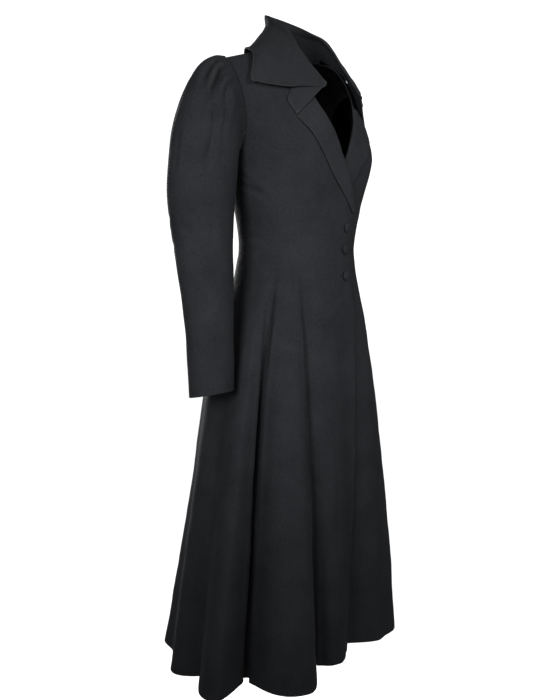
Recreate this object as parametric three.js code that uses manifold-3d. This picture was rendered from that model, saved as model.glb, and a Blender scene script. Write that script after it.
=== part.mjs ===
// A princess coat of black wool, standing in the hollow shape in which it is worn.
// Millimetres, +Z up. The front faces -Y and the wearer's left is +X.
// The origin is the middle of the neck at the height where the coat rests on the shoulders.
import * as THREE from 'three';
import { BufferGeometry, Float32BufferAttribute, Vector3 } from 'three';
import { mergeVertices } from 'three/addons/utils/BufferGeometryUtils.js';
import Module from 'manifold-3d';

const wasm = await Module();
wasm.setup();

// Driving sizes
const WALL = 2.2; // two plies of wool with their interlining
const SEAM_GAP = 0.4; // between the edges of two panels
const SHOULDER_GAP = 0.6; // from the shoulder plane to each panel's edge
const LAYER_GAP = 1.7; // between two layers of cloth that lie on each other
const HEM_Z = -1158;
const UNDERARM_Z = -205;
const SHOULDER_Z = -6; // the shoulder seam beside the neck
const SHOULDER_SLOPE = 0.33; // how far the shoulder seam falls for each millimetre outwards
const NECK_HALF = 72; // half the width of the neckline at the shoulder seams
const TIP_HALF = 204; // half the width across the padded shoulders
// How far the right front crosses the centre front, below the lapels and at the hem
const OVERLAP_X = { top: 42, hem: 17 };
const WAIST_Z = -381;

// Body sections: half width, depth in front of and behind the axis
const SECTIONS = [
  { z: HEM_Z, half: 266, front: 144, back: 219 },
  { z: -1000, half: 247, front: 142, back: 197 },
  { z: -850, half: 224, front: 139, back: 179 },
  { z: -655, half: 192, front: 128, back: 162 },
  { z: -562, half: 171, front: 123, back: 149 },
  { z: -505, half: 156, front: 119, back: 134 },
  { z: -450, half: 138, front: 111, back: 113 },
  { z: -415, half: 130, front: 109, back: 105 },
  { z: WAIST_Z, half: 126, front: 107, back: 98 },
  { z: -345, half: 131, front: 110, back: 99 },
  { z: -300, half: 142, front: 116, back: 104 },
  { z: -250, half: 152, front: 118, back: 108 },
  { z: UNDERARM_Z, half: 161, front: 118, back: 112 },
];

// The seams: the angle of each one round the body, from the centre front, at four heights.
// The right side is at negative angles.
const SEAMS = {
  rightPrincess: { hem: -21, hip: -31, waist: -42, bust: -40, top: -41 },
  rightSide: { hem: -60.5, hip: -63.2, waist: -66, bust: -84, top: -90 },
  rightBack: { hem: -93, hip: -96, waist: -100, bust: -108, top: -112 },
  leftPrincess: { hem: 27, hip: 36, waist: 42, bust: 40, top: 41 },
  leftSide: { hem: 60, hip: 64, waist: 68, bust: 84, top: 90 },
  leftBack: { hem: 95, hip: 98, waist: 100, bust: 108, top: 112 },
};
const SEAM_HEIGHTS = { hem: HEM_Z, hip: -600, waist: WAIST_Z, bust: -240, top: UNDERARM_Z };

// Folds of the skirt: angle at the hem and at the waist, how far the cloth stands out (or in)
// at the hem, the widths in degrees on the lower and the higher side of its angle, and the
// height where the fold begins
const FOLDS = [
  { hemAt: 6, waistAt: 0, out: -30, low: 15, high: 18, from: -400 },
  { hemAt: -21, waistAt: -42, out: -26, low: 6, high: 9, from: -385 },
  { hemAt: -33, waistAt: -50, out: 76, low: 25, high: 12, from: -390 },
  { hemAt: -47, waistAt: -58, out: 18, low: 11, high: 16, from: -420 },
  { hemAt: -60.5, waistAt: -66, out: -22, low: 6, high: 5, from: -385 },
  { hemAt: -68, waistAt: -77, out: 74, low: 27, high: 8, from: -400 },
  { hemAt: -93, waistAt: -98, out: -10, low: 8, high: 9, from: -520 },
  { hemAt: -106, waistAt: -114, out: 20, low: 16, high: 13, from: -450 },
  { hemAt: -146, waistAt: -146, out: 26, low: 13, high: 16, from: -430 },
  { hemAt: -170, waistAt: -168, out: 34, low: 11, high: 11, from: -440 },
  { hemAt: 41, waistAt: 54, out: 11, low: 14, high: 14, from: -400 },
  { hemAt: 60, waistAt: 68, out: -20, low: 8, high: 8, from: -390 },
  { hemAt: 76, waistAt: 84, out: 32, low: 12, high: 16, from: -410 },
  { hemAt: 95, waistAt: 98, out: -12, low: 9, high: 9, from: -520 },
  { hemAt: 112, waistAt: 114, out: 30, low: 14, high: 14, from: -440 },
  { hemAt: 141, waistAt: 144, out: 26, low: 14, high: 14, from: -430 },
  { hemAt: 167, waistAt: 166, out: 32, low: 11, high: 11, from: -450 },
];
const FOLD_GROWTH = 1.2; // above 1, a fold opens faster towards the hem

// Soft forms of the bodice: bust, shoulder blades and the drag lines from the underarm
const FORMS = [
  { angle: -37, z: -205, out: 16, halfAngle: 34, halfHeight: 105 },
  { angle: 37, z: -205, out: 16, halfAngle: 34, halfHeight: 105 },
  { angle: -148, z: -170, out: 7, halfAngle: 34, halfHeight: 90 },
  { angle: 148, z: -170, out: 7, halfAngle: 34, halfHeight: 90 },
];

// Roll line of the lapel, from the crossing of the fronts up to the shoulder seam
const ROLL_LINE = [
  { level: -318, x: 42 },
  { level: -274, x: 22 },
  { level: -228, x: 0 },
  { level: 0.06, x: -24 },
  { level: 0.32, x: -66 },
  { level: 0.55, x: -74 },
  { level: 0.8, x: -75 },
  { level: 1, x: -NECK_HALF },
];

const lerp = (a, b, t) => a + (b - a) * t;
const clamp = (v, low, high) => Math.min(high, Math.max(low, v));
const radians = (degrees) => (degrees * Math.PI) / 180;
const smooth = (t) => {
  const u = clamp(t, 0, 1);
  return u * u * (3 - 2 * u);
};
const hump = (t) => (Math.abs(t) < 1 ? 0.5 + 0.5 * Math.cos(Math.PI * t) : 0);

// A value of a table's column at key, on smooth spans between the rows
function read(table, keyName, key, column) {
  const rising = table[0][keyName] < table[table.length - 1][keyName];
  const rows = rising ? table : [...table].reverse();
  if (key <= rows[0][keyName]) {
    return rows[0][column];
  }
  for (let i = 1; i < rows.length; i += 1) {
    if (key <= rows[i][keyName]) {
      const span = rows[i][keyName] - rows[i - 1][keyName];
      const t = (key - rows[i - 1][keyName]) / span;
      const slope = (j) => {
        const low = rows[Math.max(0, j - 1)];
        const high = rows[Math.min(rows.length - 1, j + 1)];
        return ((high[column] - low[column]) / (high[keyName] - low[keyName])) * span;
      };
      const p0 = rows[i - 1][column];
      const p1 = rows[i][column];
      const m0 = slope(i - 1);
      const m1 = slope(i);
      const t2 = t * t;
      const t3 = t2 * t;
      return (2 * t3 - 3 * t2 + 1) * p0 + (t3 - 2 * t2 + t) * m0
        + (3 * t2 - 2 * t3) * p1 + (t3 - t2) * m1;
    }
  }
  return rows[rows.length - 1][column];
}

// A level is a height in millimetres up to the underarm, and above it a share, 0 to 1,
// of the way over to the shoulder seam
const isArch = (level) => level > -100;

function seamAngle(name, level) {
  const rows = Object.entries(SEAM_HEIGHTS).map(([key, z]) => ({ z, angle: SEAMS[name][key] }));
  return read(rows, 'z', isArch(level) ? UNDERARM_Z : level, 'angle');
}

// How far the folds push the skirt out at an angle and height
function foldOut(angle, z) {
  let out = 0;
  for (const fold of FOLDS) {
    const down = clamp((fold.from - z) / (fold.from - HEM_Z), 0, 1);
    const at = lerp(fold.waistAt, fold.hemAt, Math.sqrt(down));
    let away = angle - at;
    away -= 360 * Math.round(away / 360);
    const width = away < 0 ? fold.low : fold.high;
    out += fold.out * hump(away / width) * Math.pow(down, FOLD_GROWTH);
  }
  return out;
}

function formOut(angle, z) {
  let out = 0;
  for (const form of FORMS) {
    out += form.out * hump((angle - form.angle) / form.halfAngle)
      * hump((z - form.z) / form.halfHeight);
  }
  return out;
}

// The outer face of the coat's body at an angle and level
function bodyPoint(angle, level, lift = 0) {
  const a = radians(angle);
  const side = Math.sin(a);
  const ahead = Math.cos(a);
  if (!isArch(level)) {
    const z = level;
    const half = read(SECTIONS, 'z', z, 'half');
    const depth = read(SECTIONS, 'z', z, ahead > 0 ? 'front' : 'back');
    const out = foldOut(angle, z) + formOut(angle, z) + lift;
    return new Vector3((half + out) * side, -(depth + out) * ahead, z);
  }
  const rise = Math.sin((level * Math.PI) / 2);
  const over = Math.cos((level * Math.PI) / 2);
  const base = SECTIONS[SECTIONS.length - 1];
  const half = lerp(base.half, TIP_HALF, smooth(level * 0.9 + 0.05 * level));
  const x = half * side;
  const top = SHOULDER_Z - SHOULDER_SLOPE * Math.max(0, Math.abs(x) - NECK_HALF);
  const z = lerp(UNDERARM_Z, top, rise);
  const depth = ahead > 0 ? base.front * over : base.back * Math.pow(over, 0.62);
  const flatter = ahead > 0 ? lerp(1, 2.2, level) : 1;
  const out = (formOut(angle, z) + lift) * Math.max(0.25, over);
  const plan = Math.sign(ahead) * Math.pow(Math.abs(ahead), flatter);
  const shoulderGap = Math.sign(ahead) * SHOULDER_GAP;
  return new Vector3(x + out * side, -(depth + out) * plan - shoulderGap, z + lift * rise);
}

function bodyNormal(angle, level, lift = 0) {
  const da = 0.4;
  const dl = isArch(level) ? 0.004 : 2;
  const low = isArch(level) ? Math.max(0, level - dl) : level - dl;
  const high = isArch(level) ? Math.min(0.9999, level + dl) : Math.min(UNDERARM_Z, level + dl);
  const across = bodyPoint(angle + da, level, lift).sub(bodyPoint(angle - da, level, lift));
  const up = bodyPoint(angle, high, lift).sub(bodyPoint(angle, low, lift));
  return across.cross(up).normalize();
}

// Where x lies round the body at a level, in front
function angleOf(x, level) {
  let low = -90;
  let high = 90;
  for (let i = 0; i < 30; i += 1) {
    const middle = (low + high) / 2;
    if (bodyPoint(middle, level).x < x) {
      low = middle;
    } else {
      high = middle;
    }
  }
  return (low + high) / 2;
}

// The armhole: its angle at each level from the underarm to the shoulder tip
const ARMHOLE_FRONT = [
  { level: 0, angle: 89.5 },
  { level: 0.1, angle: 83 },
  { level: 0.2, angle: 79 },
  { level: 0.36, angle: 76 },
  { level: 0.5, angle: 75 },
  { level: 0.7, angle: 76 },
  { level: 0.88, angle: 80 },
  { level: 1, angle: 87 },
];
const ARMHOLE_BACK = [
  { level: 0, angle: 90.5 },
  { level: 0.1, angle: 102 },
  { level: 0.2, angle: 108 },
  { level: 0.36, angle: 111 },
  { level: 0.5, angle: 112 },
  { level: 0.7, angle: 110 },
  { level: 0.88, angle: 103 },
  { level: 1, angle: 93 },
];
// Where the princess seams run into the armhole
const SEAM_TOP = 0.36;

// The level of the back neckline at the centre back
const BACK_NECK = 0.84;
// The last row, at the shoulder seam
const TOP_LEVEL = 1;

function neckAngle(level) {
  const t = clamp((level - BACK_NECK) / (1 - BACK_NECK), 0, 1);
  const atShoulder = (Math.asin(NECK_HALF / TIP_HALF) * 180) / Math.PI;
  return 180 - atShoulder * Math.sqrt(t);
}

// The front edge: the overlap below the roll line, then the roll line itself
function frontEdge(level) {
  const start = ROLL_LINE[0];
  if (level <= start.level) {
    const down = (start.level - level) / (start.level - HEM_Z);
    return angleOf(lerp(OVERLAP_X.top, OVERLAP_X.hem, down), level);
  }
  const rows = ROLL_LINE.map((row) => ({ level: levelKey(row.level), x: row.x }));
  return angleOf(read(rows, 'level', levelKey(level), 'x'), level);
}

// One rising key for both kinds of level
function levelKey(level) {
  return isArch(level) ? level * 200 : level - UNDERARM_Z;
}

// Levels of the rows of every panel
const SKIRT_LEVELS = [HEM_Z, -1075, -990, -905, -820, -735, -650, -575, -510, -460, -422];
const WAIST_LEVELS = [-388, -352, -312, -272, -238, UNDERARM_Z];
const ARCH_LEVELS = [0.09, 0.18, 0.27, SEAM_TOP, 0.5, 0.64, 0.78, 0.9, TOP_LEVEL];
const LOW_LEVELS = [...SKIRT_LEVELS, ...WAIST_LEVELS];
const SIDE_LEVELS = [...LOW_LEVELS, 0.09, 0.18, 0.27, SEAM_TOP - 0.02];
const FULL_LEVELS = [...LOW_LEVELS, ...ARCH_LEVELS];

// A closed wall between two grids of points with the same rows and columns
function wallGeometry(outer, inner) {
  const rows = outer.length;
  const columns = outer[0].length;
  const positions = [];
  const index = [];
  for (const grid of [outer, inner]) {
    for (const row of grid) {
      for (const p of row) {
        positions.push(p.x, p.y, p.z);
      }
    }
  }
  const at = (layer, i, j) => layer * rows * columns + i * columns + j;
  const quad = (a, b, c, d) => index.push(a, b, c, a, c, d);
  for (let i = 0; i < rows - 1; i += 1) {
    for (let j = 0; j < columns - 1; j += 1) {
      quad(at(0, i, j), at(0, i, j + 1), at(0, i + 1, j + 1), at(0, i + 1, j));
      quad(at(1, i, j), at(1, i + 1, j), at(1, i + 1, j + 1), at(1, i, j + 1));
    }
  }
  for (let i = 0; i < rows - 1; i += 1) {
    const end = columns - 1;
    quad(at(1, i, 0), at(0, i, 0), at(0, i + 1, 0), at(1, i + 1, 0));
    quad(at(0, i, end), at(1, i, end), at(1, i + 1, end), at(0, i + 1, end));
  }
  for (let j = 0; j < columns - 1; j += 1) {
    const end = rows - 1;
    quad(at(1, 0, j), at(1, 0, j + 1), at(0, 0, j + 1), at(0, 0, j));
    quad(at(0, end, j), at(0, end, j + 1), at(1, end, j + 1), at(1, end, j));
  }
  const geometry = new BufferGeometry();
  geometry.setAttribute('position', new Float32BufferAttribute(positions, 3));
  geometry.setIndex(index);
  return geometry;
}

function wool(colour) {
  return new THREE.MeshStandardMaterial({ color: colour, roughness: 0.9, metalness: 0 });
}
const BODY_WOOL = wool(0x2b2c2f);
const COLLAR_WOOL = wool(0x36373a);

function addMesh(parent, name, geometry, material) {
  geometry.computeVertexNormals();
  const mesh = new THREE.Mesh(geometry, material);
  mesh.name = name;
  parent.add(mesh);
}

// A body panel between two edges, each a function from level to angle.
// lift says how far a point lies outside the plain body, for the overlap.
function panelGeometry(levels, edgeA, edgeB, columns, lift = () => 0) {
  const outer = [];
  const inner = [];
  for (const level of levels) {
    const from = edgeA(level);
    const to = edgeB(level);
    const here = bodyPoint((from + to) / 2, level);
    const radius = Math.max(60, Math.hypot(here.x, here.y));
    const gap = ((SEAM_GAP / 2 / radius) * 180) / Math.PI;
    const outerRow = [];
    const innerRow = [];
    for (let j = 0; j <= columns; j += 1) {
      const angle = lerp(from + gap, to - gap, j / columns);
      const raised = lift(angle, level);
      const p = bodyPoint(angle, level, raised);
      const n = bodyNormal(angle, level, raised);
      if (level === TOP_LEVEL) {
        n.setY(0).normalize();
      }
      const q = p.clone().addScaledVector(n, -WALL);
      const side = Math.sign(p.y);
      if (isArch(level) && level > 0.5 && side * q.y < SHOULDER_GAP) {
        q.setY(side * SHOULDER_GAP);
      }
      outerRow.push(p);
      innerRow.push(q);
    }
    outer.push(outerRow);
    inner.push(innerRow);
  }
  return wallGeometry(outer, inner);
}

// The left front goes under the right one
const UNDER = WALL + LAYER_GAP;
const HEM_OPENING = 26; // how much further in the under layer hangs at the hem
function underLift(angle, level) {
  const down = isArch(level) ? 0 : clamp((WAIST_Z - level) / (WAIST_Z - HEM_Z), 0, 1);
  const clear = Math.min(34, seamAngle('leftPrincess', level) - 2);
  return -(UNDER + HEM_OPENING * down * down) * smooth((clear - angle) / 14);
}

function armholeOr(seam, table, mirrored) {
  return (level) => {
    if (!isArch(level) || level <= 0) {
      return seamAngle(seam, level);
    }
    const sign = mirrored ? 1 : -1;
    const arm = sign * read(table, 'level', level, 'angle');
    if (level >= SEAM_TOP) {
      return arm;
    }
    const top = sign * read(table, 'level', SEAM_TOP, 'angle');
    return lerp(seamAngle(seam, UNDERARM_Z), top, level / SEAM_TOP);
  };
}

function sideEdge(seam, table, mirrored) {
  return (level) => {
    if (!isArch(level)) {
      return seamAngle(seam, level);
    }
    return (mirrored ? 1 : -1) * read(table, 'level', level, 'angle');
  };
}

function buildBody(parent) {
  const backEdge = (level) => (level > BACK_NECK ? neckAngle(level) : 180);
  const right = {
    princess: armholeOr('rightPrincess', ARMHOLE_FRONT, false),
    sideFront: sideEdge('rightSide', ARMHOLE_FRONT, false),
    sideBack: sideEdge('rightSide', ARMHOLE_BACK, false),
    back: armholeOr('rightBack', ARMHOLE_BACK, false),
  };
  const left = {
    princess: armholeOr('leftPrincess', ARMHOLE_FRONT, true),
    sideFront: sideEdge('leftSide', ARMHOLE_FRONT, true),
    sideBack: sideEdge('leftSide', ARMHOLE_BACK, true),
    back: armholeOr('leftBack', ARMHOLE_BACK, true),
  };
  const leftEdge = (level) => -frontEdge(level);
  const panels = [
    ['front_right', FULL_LEVELS, right.princess, frontEdge, 8],
    ['front_left', FULL_LEVELS, leftEdge, left.princess, 8, underLift],
    ['side_front_right', SIDE_LEVELS, right.sideFront, right.princess, 7],
    ['side_front_left', SIDE_LEVELS, left.princess, left.sideFront, 7],
    ['side_back_right', SIDE_LEVELS, right.back, right.sideBack, 7],
    ['side_back_left', SIDE_LEVELS, left.sideBack, left.back, 7],
    ['back_right', FULL_LEVELS, (level) => -backEdge(level), right.back, 9],
    ['back_left', FULL_LEVELS, left.back, backEdge, 9],
  ];
  for (const [name, levels, edgeA, edgeB, columns, lift] of panels) {
    addMesh(parent, name, panelGeometry(levels, edgeA, edgeB, columns, lift), BODY_WOOL);
  }
}

// The lapels: how far each one reaches over the front, from the gorge seam down
const LAPEL_EDGE = [
  { z: -320, reach: 3 },
  { z: -300, reach: 14 },
  { z: -270, reach: 31 },
  { z: -236, reach: 48 },
  { z: -184, reach: 57 },
  { z: -120, reach: 56 },
];
const LAPEL_ROWS = 13;
const LAPEL_FOOT = -312;
const LEFT_LAPEL_FOOT = -285;
const GORGE_AT_ROLL = 0.31;
const GORGE_AT_EDGE = 0.19;

// Section of a lapel: distance over the front from the roll line and height of the middle
// of its cloth above the front's face. The share is of the reach at that row.
const LAPEL_SECTION = [
  { past: 1.9, share: 0, height: -0.9 },
  { past: 2.2, share: 0, height: 1.1 },
  { past: 0.6, share: 0, height: 3.1 },
  { past: -3, share: 0, height: 3.9 },
  { past: -3, share: 0.4, height: 4.1 },
  { past: -3, share: 0.75, height: 3.4 },
  { past: -3, share: 1, height: 2.6 },
];

// A closed wall of an even thickness about a grid of middle points
function sheetGeometry(grid, wall) {
  const rows = grid.length;
  const columns = grid[0].length;
  const outer = [];
  const inner = [];
  for (let i = 0; i < rows; i += 1) {
    const outerRow = [];
    const innerRow = [];
    for (let j = 0; j < columns; j += 1) {
      const left = grid[i][Math.max(0, j - 1)];
      const right = grid[i][Math.min(columns - 1, j + 1)];
      const below = grid[Math.max(0, i - 1)][j];
      const above = grid[Math.min(rows - 1, i + 1)][j];
      const across = right.clone().sub(left);
      const normal = across.cross(above.clone().sub(below)).normalize();
      outerRow.push(grid[i][j].clone().addScaledVector(normal, wall / 2));
      innerRow.push(grid[i][j].clone().addScaledVector(normal, -wall / 2));
    }
    outer.push(outerRow);
    inner.push(innerRow);
  }
  return wallGeometry(outer, inner);
}

const mirrorX = (p) => new Vector3(-p.x, p.y, p.z);

function lapelGrid(foot, lift) {
  const grid = [];
  for (let i = 0; i < LAPEL_ROWS; i += 1) {
    const t = i / (LAPEL_ROWS - 1);
    const row = [];
    for (const part of LAPEL_SECTION) {
      const top = lerp(GORGE_AT_ROLL, GORGE_AT_EDGE, part.share);
      const key = lerp(levelKey(foot), levelKey(top), t);
      const level = key > 0 ? key / 200 : key + UNDERARM_Z;
      const edge = frontEdge(level);
      const onEdge = bodyPoint(edge, level);
      const reach = read(LAPEL_EDGE, 'z', onEdge.z, 'reach');
      const x = onEdge.x + part.past - reach * part.share;
      const angle = angleOf(x, level);
      const taper = Math.min(1, reach / 14);
      const height = part.height > 0 ? part.height * lerp(0.75, 1, taper) : part.height;
      const raised = lift(angle, level);
      const p = bodyPoint(angle, level, raised);
      row.push(p.addScaledVector(bodyNormal(angle, level, raised), height));
    }
    grid.push(row.reverse());
  }
  return grid;
}

// The left lapel goes under the right front: the cloth that would meet it is cut away
function cutUnderRightFront(geometry) {
  const rows = LOW_LEVELS.slice(-6).concat([0.09, 0.18]);
  const deep = [];
  const high = [];
  for (const level of rows) {
    const edge = frontEdge(level) + 2.5;
    const deepRow = [];
    const highRow = [];
    for (let j = 0; j <= 8; j += 1) {
      const angle = lerp(-45, edge, j / 8);
      const p = bodyPoint(angle, level);
      const n = bodyNormal(angle, level);
      deepRow.push(p.clone().addScaledVector(n, -WALL - 0.9));
      highRow.push(p.clone().addScaledVector(n, 14));
    }
    deep.push(deepRow);
    high.push(highRow);
  }
  const cut = solidOf(geometry).subtract(solidOf(wallGeometry(high, deep)));
  const largest = cut.decompose().sort((a, b) => b.volume() - a.volume())[0];
  return geometryOf(largest);
}

function solidOf(geometry) {
  const bare = geometry.clone();
  bare.deleteAttribute('normal');
  bare.deleteAttribute('uv');
  const merged = mergeVertices(bare, 1e-3);
  const mesh = new wasm.Mesh({
    numProp: 3,
    vertProperties: new Float32Array(merged.attributes.position.array),
    triVerts: new Uint32Array(merged.index.array),
  });
  return new wasm.Manifold(mesh);
}

function geometryOf(solid) {
  const mesh = solid.getMesh();
  const geometry = new BufferGeometry();
  geometry.setAttribute('position', new Float32BufferAttribute(mesh.vertProperties, 3));
  geometry.setIndex(Array.from(mesh.triVerts));
  return geometry;
}

function buildLapels(parent) {
  const right = lapelGrid(LAPEL_FOOT, () => 0);
  const left = lapelGrid(LEFT_LAPEL_FOOT, (angle, level) => underLift(-angle, level));
  const leftShape = sheetGeometry(left.map((row) => row.map(mirrorX).reverse()), WALL);
  addMesh(parent, 'lapel_right', sheetGeometry(right, WALL), COLLAR_WOOL);
  addMesh(parent, 'lapel_left', cutUnderRightFront(leftShape), COLLAR_WOOL);
}

// The collar, station by station from the right front end to the centre back: its seam
// (base), the fold, and the free edge of the fall. A base or edge with two numbers is an x
// and z on the front, moved out by baseOff or edgeOff. A neck value is a level on the neckline.
const COLLAR = [
  { base: [-103, -143], baseOff: 2.6, fold: [-53, -113, -84], edge: [-60, -114, -92], bow: 0 },
  { base: [-110, -117], baseOff: 3, fold: [-57, -99, -67], edge: [-84, -96], edgeOff: 13, bow: 2 },
  { base: [-98, -90], baseOff: 2.6, fold: [-61, -83, -47], edge: [-110, -98], edgeOff: 12, bow: 4 },
  { base: [-82, -56], baseOff: 2.8, fold: [-63, -62, -20], edge: [-137, -94], edgeOff: 10, bow: 8 },
  { base: [-80, -34], baseOff: 6, fold: [-64, -52, -6], edge: [-150, -90], edgeOff: 9, bow: 11 },
  { neck: 0.93, front: true, fold: [-63, -42, 8], edge: [-160, -84], edgeOff: 11, bow: 14 },
  { neck: 0.985, front: true, fold: [-60, -20, 33], edge: [-150, -44], edgeOff: 11, bow: 14 },
  { neck: 0.98, fold: [-56, 6, 48], edge: [-130, 12, -15], bow: 12 },
  { neck: 0.93, fold: [-46, 29, 62], edge: [-92, 52, -9], bow: 11 },
  { neck: 0.88, fold: [-28, 52, 73], edge: [-50, 84, -11], bow: 10 },
  { neck: 0.84, fold: [0, 62, 77], edge: [0, 96, -13], bow: 9 },
];
const FOLD_RADIUS = 2.6;

// A point on the right front at an x and a height above the underarm, moved out
function onFront(x, z, off) {
  let low = 0;
  let high = 1;
  for (let i = 0; i < 30; i += 1) {
    const middle = (low + high) / 2;
    if (bodyPoint(angleOf(x, middle), middle).z < z) {
      low = middle;
    } else {
      high = middle;
    }
  }
  const angle = angleOf(x, low);
  return bodyPoint(angle, low).addScaledVector(bodyNormal(angle, low), off);
}

// The collar's seam stands on the edge of the neckline
const NECK_SEAM_UP = 5;
function onNeckline(row) {
  const angle = row.front ? frontEdge(row.neck) : -neckAngle(row.neck);
  const p = bodyPoint(angle, row.neck).addScaledVector(bodyNormal(angle, row.neck), -WALL / 2);
  return p.add(new Vector3(0, 0, NECK_SEAM_UP));
}

function collarStations() {
  const right = COLLAR.map((row) => ({
    base: row.neck ? onNeckline(row) : onFront(...row.base, row.baseOff),
    fold: new Vector3(...row.fold),
    edge: row.edgeOff ? onFront(...row.edge, row.edgeOff) : new Vector3(...row.edge),
    bow: row.bow,
  }));
  const left = right.slice(0, -1).reverse().map((row) => ({
    base: mirrorX(row.base),
    fold: mirrorX(row.fold),
    edge: mirrorX(row.edge),
    bow: row.bow,
  }));
  return [...right, ...left];
}

// Moves a point of the fall forward where the chest would touch it
const FALL_CLEAR = 5;
function keepOffFront(p) {
  const shoulder = bodyPoint(angleOf(p.x, TOP_LEVEL), TOP_LEVEL).z;
  if (p.z > shoulder - 1 || p.y > 0) {
    return p;
  }
  const chest = onFront(p.x, p.z, FALL_CLEAR);
  return new Vector3(p.x, Math.min(p.y, chest.y), p.z);
}

function collarGrid() {
  const stations = collarStations();
  const grid = [[], [], [], [], [], [], [], []];
  stations.forEach((station, i) => {
    const before = stations[Math.max(0, i - 1)].fold;
    const after = stations[Math.min(stations.length - 1, i + 1)].fold;
    const along = after.clone().sub(before).normalize();
    const up = new Vector3(0, 0, 1);
    const out = up.clone().cross(along).normalize().multiplyScalar(-1);
    out.addScaledVector(along, -out.dot(along)).normalize();
    const { base, fold, edge, bow } = station;
    const bowed = out.clone().add(up).normalize().multiplyScalar(bow);
    const inner = fold.clone().addScaledVector(out, -FOLD_RADIUS);
    inner.z -= FOLD_RADIUS;
    const outer = fold.clone().addScaledVector(out, FOLD_RADIUS);
    outer.z -= FOLD_RADIUS;
    const points = [
      base,
      base.clone().lerp(inner, 0.5),
      inner,
      fold,
      outer,
      outer.clone().lerp(edge, 0.33).addScaledVector(bowed, 0.75),
      outer.clone().lerp(edge, 0.67).addScaledVector(bowed, 0.85),
      edge,
    ];
    points.forEach((p, k) => grid[k].push(k > 4 && k < 7 ? keepOffFront(p) : p));
  });
  return grid;
}

function buildCollar(parent) {
  addMesh(parent, 'collar', sheetGeometry(collarGrid(), WALL), COLLAR_WOOL);
}

// The sleeve, row by row from just outside the armhole to the cuff: its inner and outer
// side (out from the centre, and height), half depths before and behind, and middle in Y.
// The left arm is drawn back: leftIn and leftBack say how far its sleeve is moved.
// The front of the cuff is the higher side.
const SLEEVE_ROWS = [
  { in: 168, inZ: -210, out: 220, outZ: -49, ahead: 26, behind: 60, y: 6, leftIn: 0, leftBack: 5 },
  { in: 169, inZ: -217, out: 237, outZ: -61, ahead: 31, behind: 62, y: 9, leftIn: 1, leftBack: 17 },
  { in: 169, inZ: -228, out: 253, outZ: -83, ahead: 36, behind: 62, y: 13, leftIn: 5, leftBack: 33 },
  { in: 168, inZ: -242, out: 268, outZ: -114, ahead: 40, behind: 61, y: 17, leftIn: 9, leftBack: 42 },
  { in: 167, inZ: -259, out: 281, outZ: -154, ahead: 44, behind: 59, y: 21, leftIn: 12, leftBack: 50 },
  { in: 167, inZ: -280, out: 290, outZ: -199, ahead: 47, behind: 57, y: 24, leftIn: 13, leftBack: 54 },
  { in: 168, inZ: -306, out: 296, outZ: -250, ahead: 49, behind: 54, y: 26, leftIn: 14, leftBack: 57 },
  { in: 172, inZ: -345, out: 298, outZ: -305, ahead: 49, behind: 52, y: 26, leftIn: 15, leftBack: 60 },
  { in: 177, inZ: -395, out: 293, outZ: -365, ahead: 46, behind: 48, y: 22, leftIn: 14, leftBack: 64 },
  { in: 184, inZ: -450, out: 288, outZ: -430, ahead: 43, behind: 44, y: 15, leftIn: 12, leftBack: 68 },
  { in: 192, inZ: -510, out: 285, outZ: -498, ahead: 40, behind: 40, y: 7, leftIn: 9, leftBack: 73 },
  { in: 199, inZ: -570, out: 284, outZ: -564, ahead: 37, behind: 37, y: -1, leftIn: 4, leftBack: 78 },
  { in: 206, inZ: -641, out: 286, outZ: -648, ahead: 35, behind: 35, y: -8, leftIn: -4, leftBack: 84 },
];

// Folds that run down from the gathered head. An angle of 0 is the underarm, 90 the front,
// 180 the outer side; the rows are counted from the armhole.
const SLEEVE_FOLDS = [
  { at: 112, out: -5, half: 11, deepest: 2, rows: 3.5 },
  { at: 133, out: -11, half: 12, deepest: 2.5, rows: 4 },
  { at: 156, out: -6, half: 10, deepest: 2, rows: 4 },
  { at: 205, out: -6, half: 11, deepest: 2, rows: 4 },
  { at: 229, out: -9, half: 12, deepest: 2.5, rows: 4 },
  { at: 251, out: -5, half: 11, deepest: 2, rows: 3.5 },
];
const CUFF_FRONT_UP = 5; // how much higher the cuff is in front than at its middle
const SLEEVE_SEAMS = { front: 48, back: 306 };
const UPPER_COLUMNS = 20;
const UNDER_COLUMNS = 7;
const ARMHOLE_GAP = 1.9; // between the panels and the sleeve, along the shoulder
const SLEEVE_CLEAR = 1.2; // how far the sleeve stands off the panels at the armhole

function armholePoint(turn) {
  const front = turn <= 180;
  const share = (1 - Math.cos(radians(turn))) / 2;
  const level = (Math.asin(Math.sqrt(clamp(share, 0, 1)) ** 2) * 2) / Math.PI;
  const angle = -read(front ? ARMHOLE_FRONT : ARMHOLE_BACK, 'level', level, 'angle');
  const p = bodyPoint(angle, level);
  const n = bodyNormal(angle, level);
  const sideways = smooth(level / 0.25);
  const gap = new Vector3(-sideways, 0, 1 - sideways).normalize();
  const clear = lerp(2 * SLEEVE_CLEAR, SLEEVE_CLEAR, sideways);
  return p.addScaledVector(n, clear).addScaledVector(gap, ARMHOLE_GAP);
}

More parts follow.
